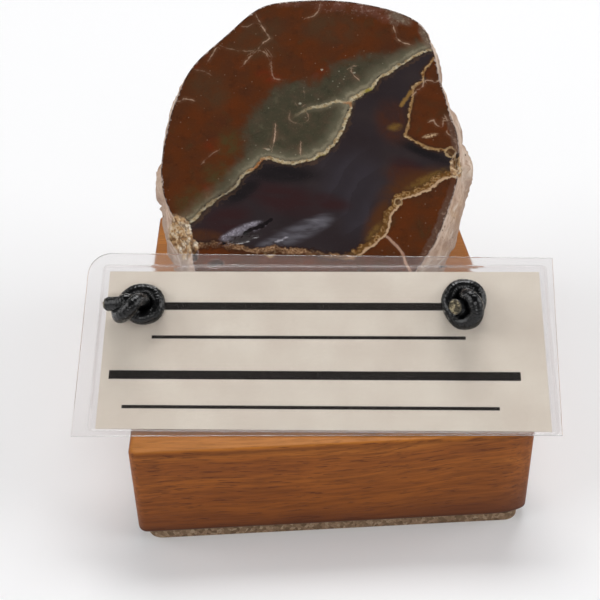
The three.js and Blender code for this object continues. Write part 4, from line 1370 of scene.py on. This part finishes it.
def laminating_film(name, clearness):
    """Polyester laminating pouch, fused by hot rollers: clear and glossy over the paper, faintly milky
    where the sheets are fused, and a little wavy, so that what it reflects wobbles. Lamps shine straight
    through it onto the paper."""
    look = Finish(name)
    spot = look.add("TexCoord", out="Object")
    wave = look.add("TexNoise", {"Vector": spot, "Scale": per_mm(7), "Detail": 3})
    wobble = look.add("Bump", {"Height": wave, "Strength": 0.2, "Distance": 0.25 * MM})
    clear = look.add("BsdfPrincipled", {
        "Base Color": "#fbfafa", "Roughness": 0.07, "IOR": 1.5, "Transmission Weight": clearness,
        "Normal": wobble,
    })
    through = look.add("BsdfTransparent", {"Color": "#f8f7f7"})
    lamp = look.add("LightPath", out="Is Shadow Ray")
    return show(look, look.add("MixShader", {0: lamp, 1: clear, 2: through}))


def film_outline(inset):
    """The pouch's outline, drawn in by an inset, with its one round corner."""
    left, foot, top = FILM_LEFT + inset, FILM_FOOT + inset, FILM_TOP - inset
    r = FILM_CORNER - inset
    outline = [
        (left, foot),
        (FILM_RIGHT_FOOT - inset, FILM_FOOT_RIGHT + inset),
        (FILM_RIGHT - inset, FILM_TOP_RIGHT - inset),
    ]
    return outline + arc((left + r, top - r), r, 90, FILM_ARC_STEPS)


def pocket_outline(gap, foot_gap, radius):
    """The paper's outline, let out by a gap, with small round corners."""
    outline = []
    left, foot = -gap + radius, -foot_gap + radius
    right, top = PAPER_WIDTH + gap - radius, PAPER_HEIGHT + gap - radius
    for x, y, first in ((left, foot, 180), (right, foot, 270), (right, top, 0), (left, top, 90)):
        outline += arc((x, y), radius, first, POCKET_ARC_STEPS)
    return outline


def laminate():
    """Both sheets as one clear piece: fused round the edge, with a closed pocket that holds the paper
    and thins out to the weld."""
    made = bmesh.new()

    def loop(outline, w):
        return [made.verts.new(CARD_FRAME @ Vector((x, y, w)) * MM) for x, y in outline]

    def wall(a, b):
        for i in range(len(a)):
            k = (i + 1) % len(a)
            made.faces.new((a[i], a[k], b[k], b[i]))

    def lid(outer, holes):
        loops = [outer, *holes]
        edges = [made.edges.get((l[i], l[(i + 1) % len(l)])) for l in loops for i in range(len(l))]
        filled = bmesh.ops.triangle_fill(made, edges=edges, use_beauty=True)["geom"]
        return [face for face in filled if isinstance(face, bmesh.types.BMFace)]

    def ring(hole):
        radius = HOLE_DIAMETER / 2
        angles = [2 * math.pi * i / HOLE_SIDES for i in range(HOLE_SIDES)]
        return [(hole[0] + radius * math.cos(angle), hole[1] + radius * math.sin(angle)) for angle in angles]

    half = CARD_THICKNESS / 2
    pocket = PAPER_THICKNESS / 2 + POCKET_GAP
    margin = half - FILM_STEP
    bevel = FILM_ROUNDING * 0.3
    rows = [loop(film_outline(inset), w) for inset, w in (
        (FILM_ROUNDING, margin), (bevel, margin - bevel), (0, margin - FILM_ROUNDING),
        (0, FILM_ROUNDING - margin), (bevel, bevel - margin), (FILM_ROUNDING, -margin),
    )]
    for a, b in zip(rows, rows[1:]):
        wall(a, b)
    pockets = [loop(pocket_outline(*outline), w) for outline, w in (
        (POCKET, pocket), (WELD, WELD_OPENING), (WELD, -WELD_OPENING), (POCKET, -pocket),
    )]
    for a, b in zip(pockets, pockets[1:]):
        wall(a, b)
    fronts, backs, pocket_fronts, pocket_backs = (
        [loop(ring(hole), w) for hole in (LEFT_HOLE, RIGHT_HOLE)] for w in (half, -half, pocket, -pocket)
    )
    for k in range(2):
        wall(fronts[k], pocket_fronts[k])
        wall(pocket_backs[k], backs[k])
    for outer, holes, side in ((rows[0], fronts, 1), (rows[-1], backs, -1)):
        over_paper = loop(pocket_outline(*OVER_PAPER), side * half)
        step_foot = loop(pocket_outline(*STEP_FOOT), side * margin)
        wall(over_paper, step_foot)
        lid(outer, [step_foot])
        for face in lid(over_paper, holes):
            face.material_index = 1
    for face in lid(pockets[0], pocket_fronts) + lid(pockets[-1], pocket_backs):
        face.material_index = 1
    bmesh.ops.recalc_face_normals(made, faces=made.faces)
    mesh = bpy.data.meshes.new("card_laminate")
    made.to_mesh(mesh)
    made.free()
    mesh.materials.append(laminating_film("fused laminating film", FUSED_CLEARNESS))
    mesh.materials.append(laminating_film("clear laminating film", 1.0))
    thing = bpy.data.objects.new("card_laminate", mesh)
    bpy.context.scene.collection.objects.link(thing)
    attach(thing, BODY)
    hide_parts("tag_film_front", "tag_film_back")


dress("tag_paper", printed_paper())
laminate()
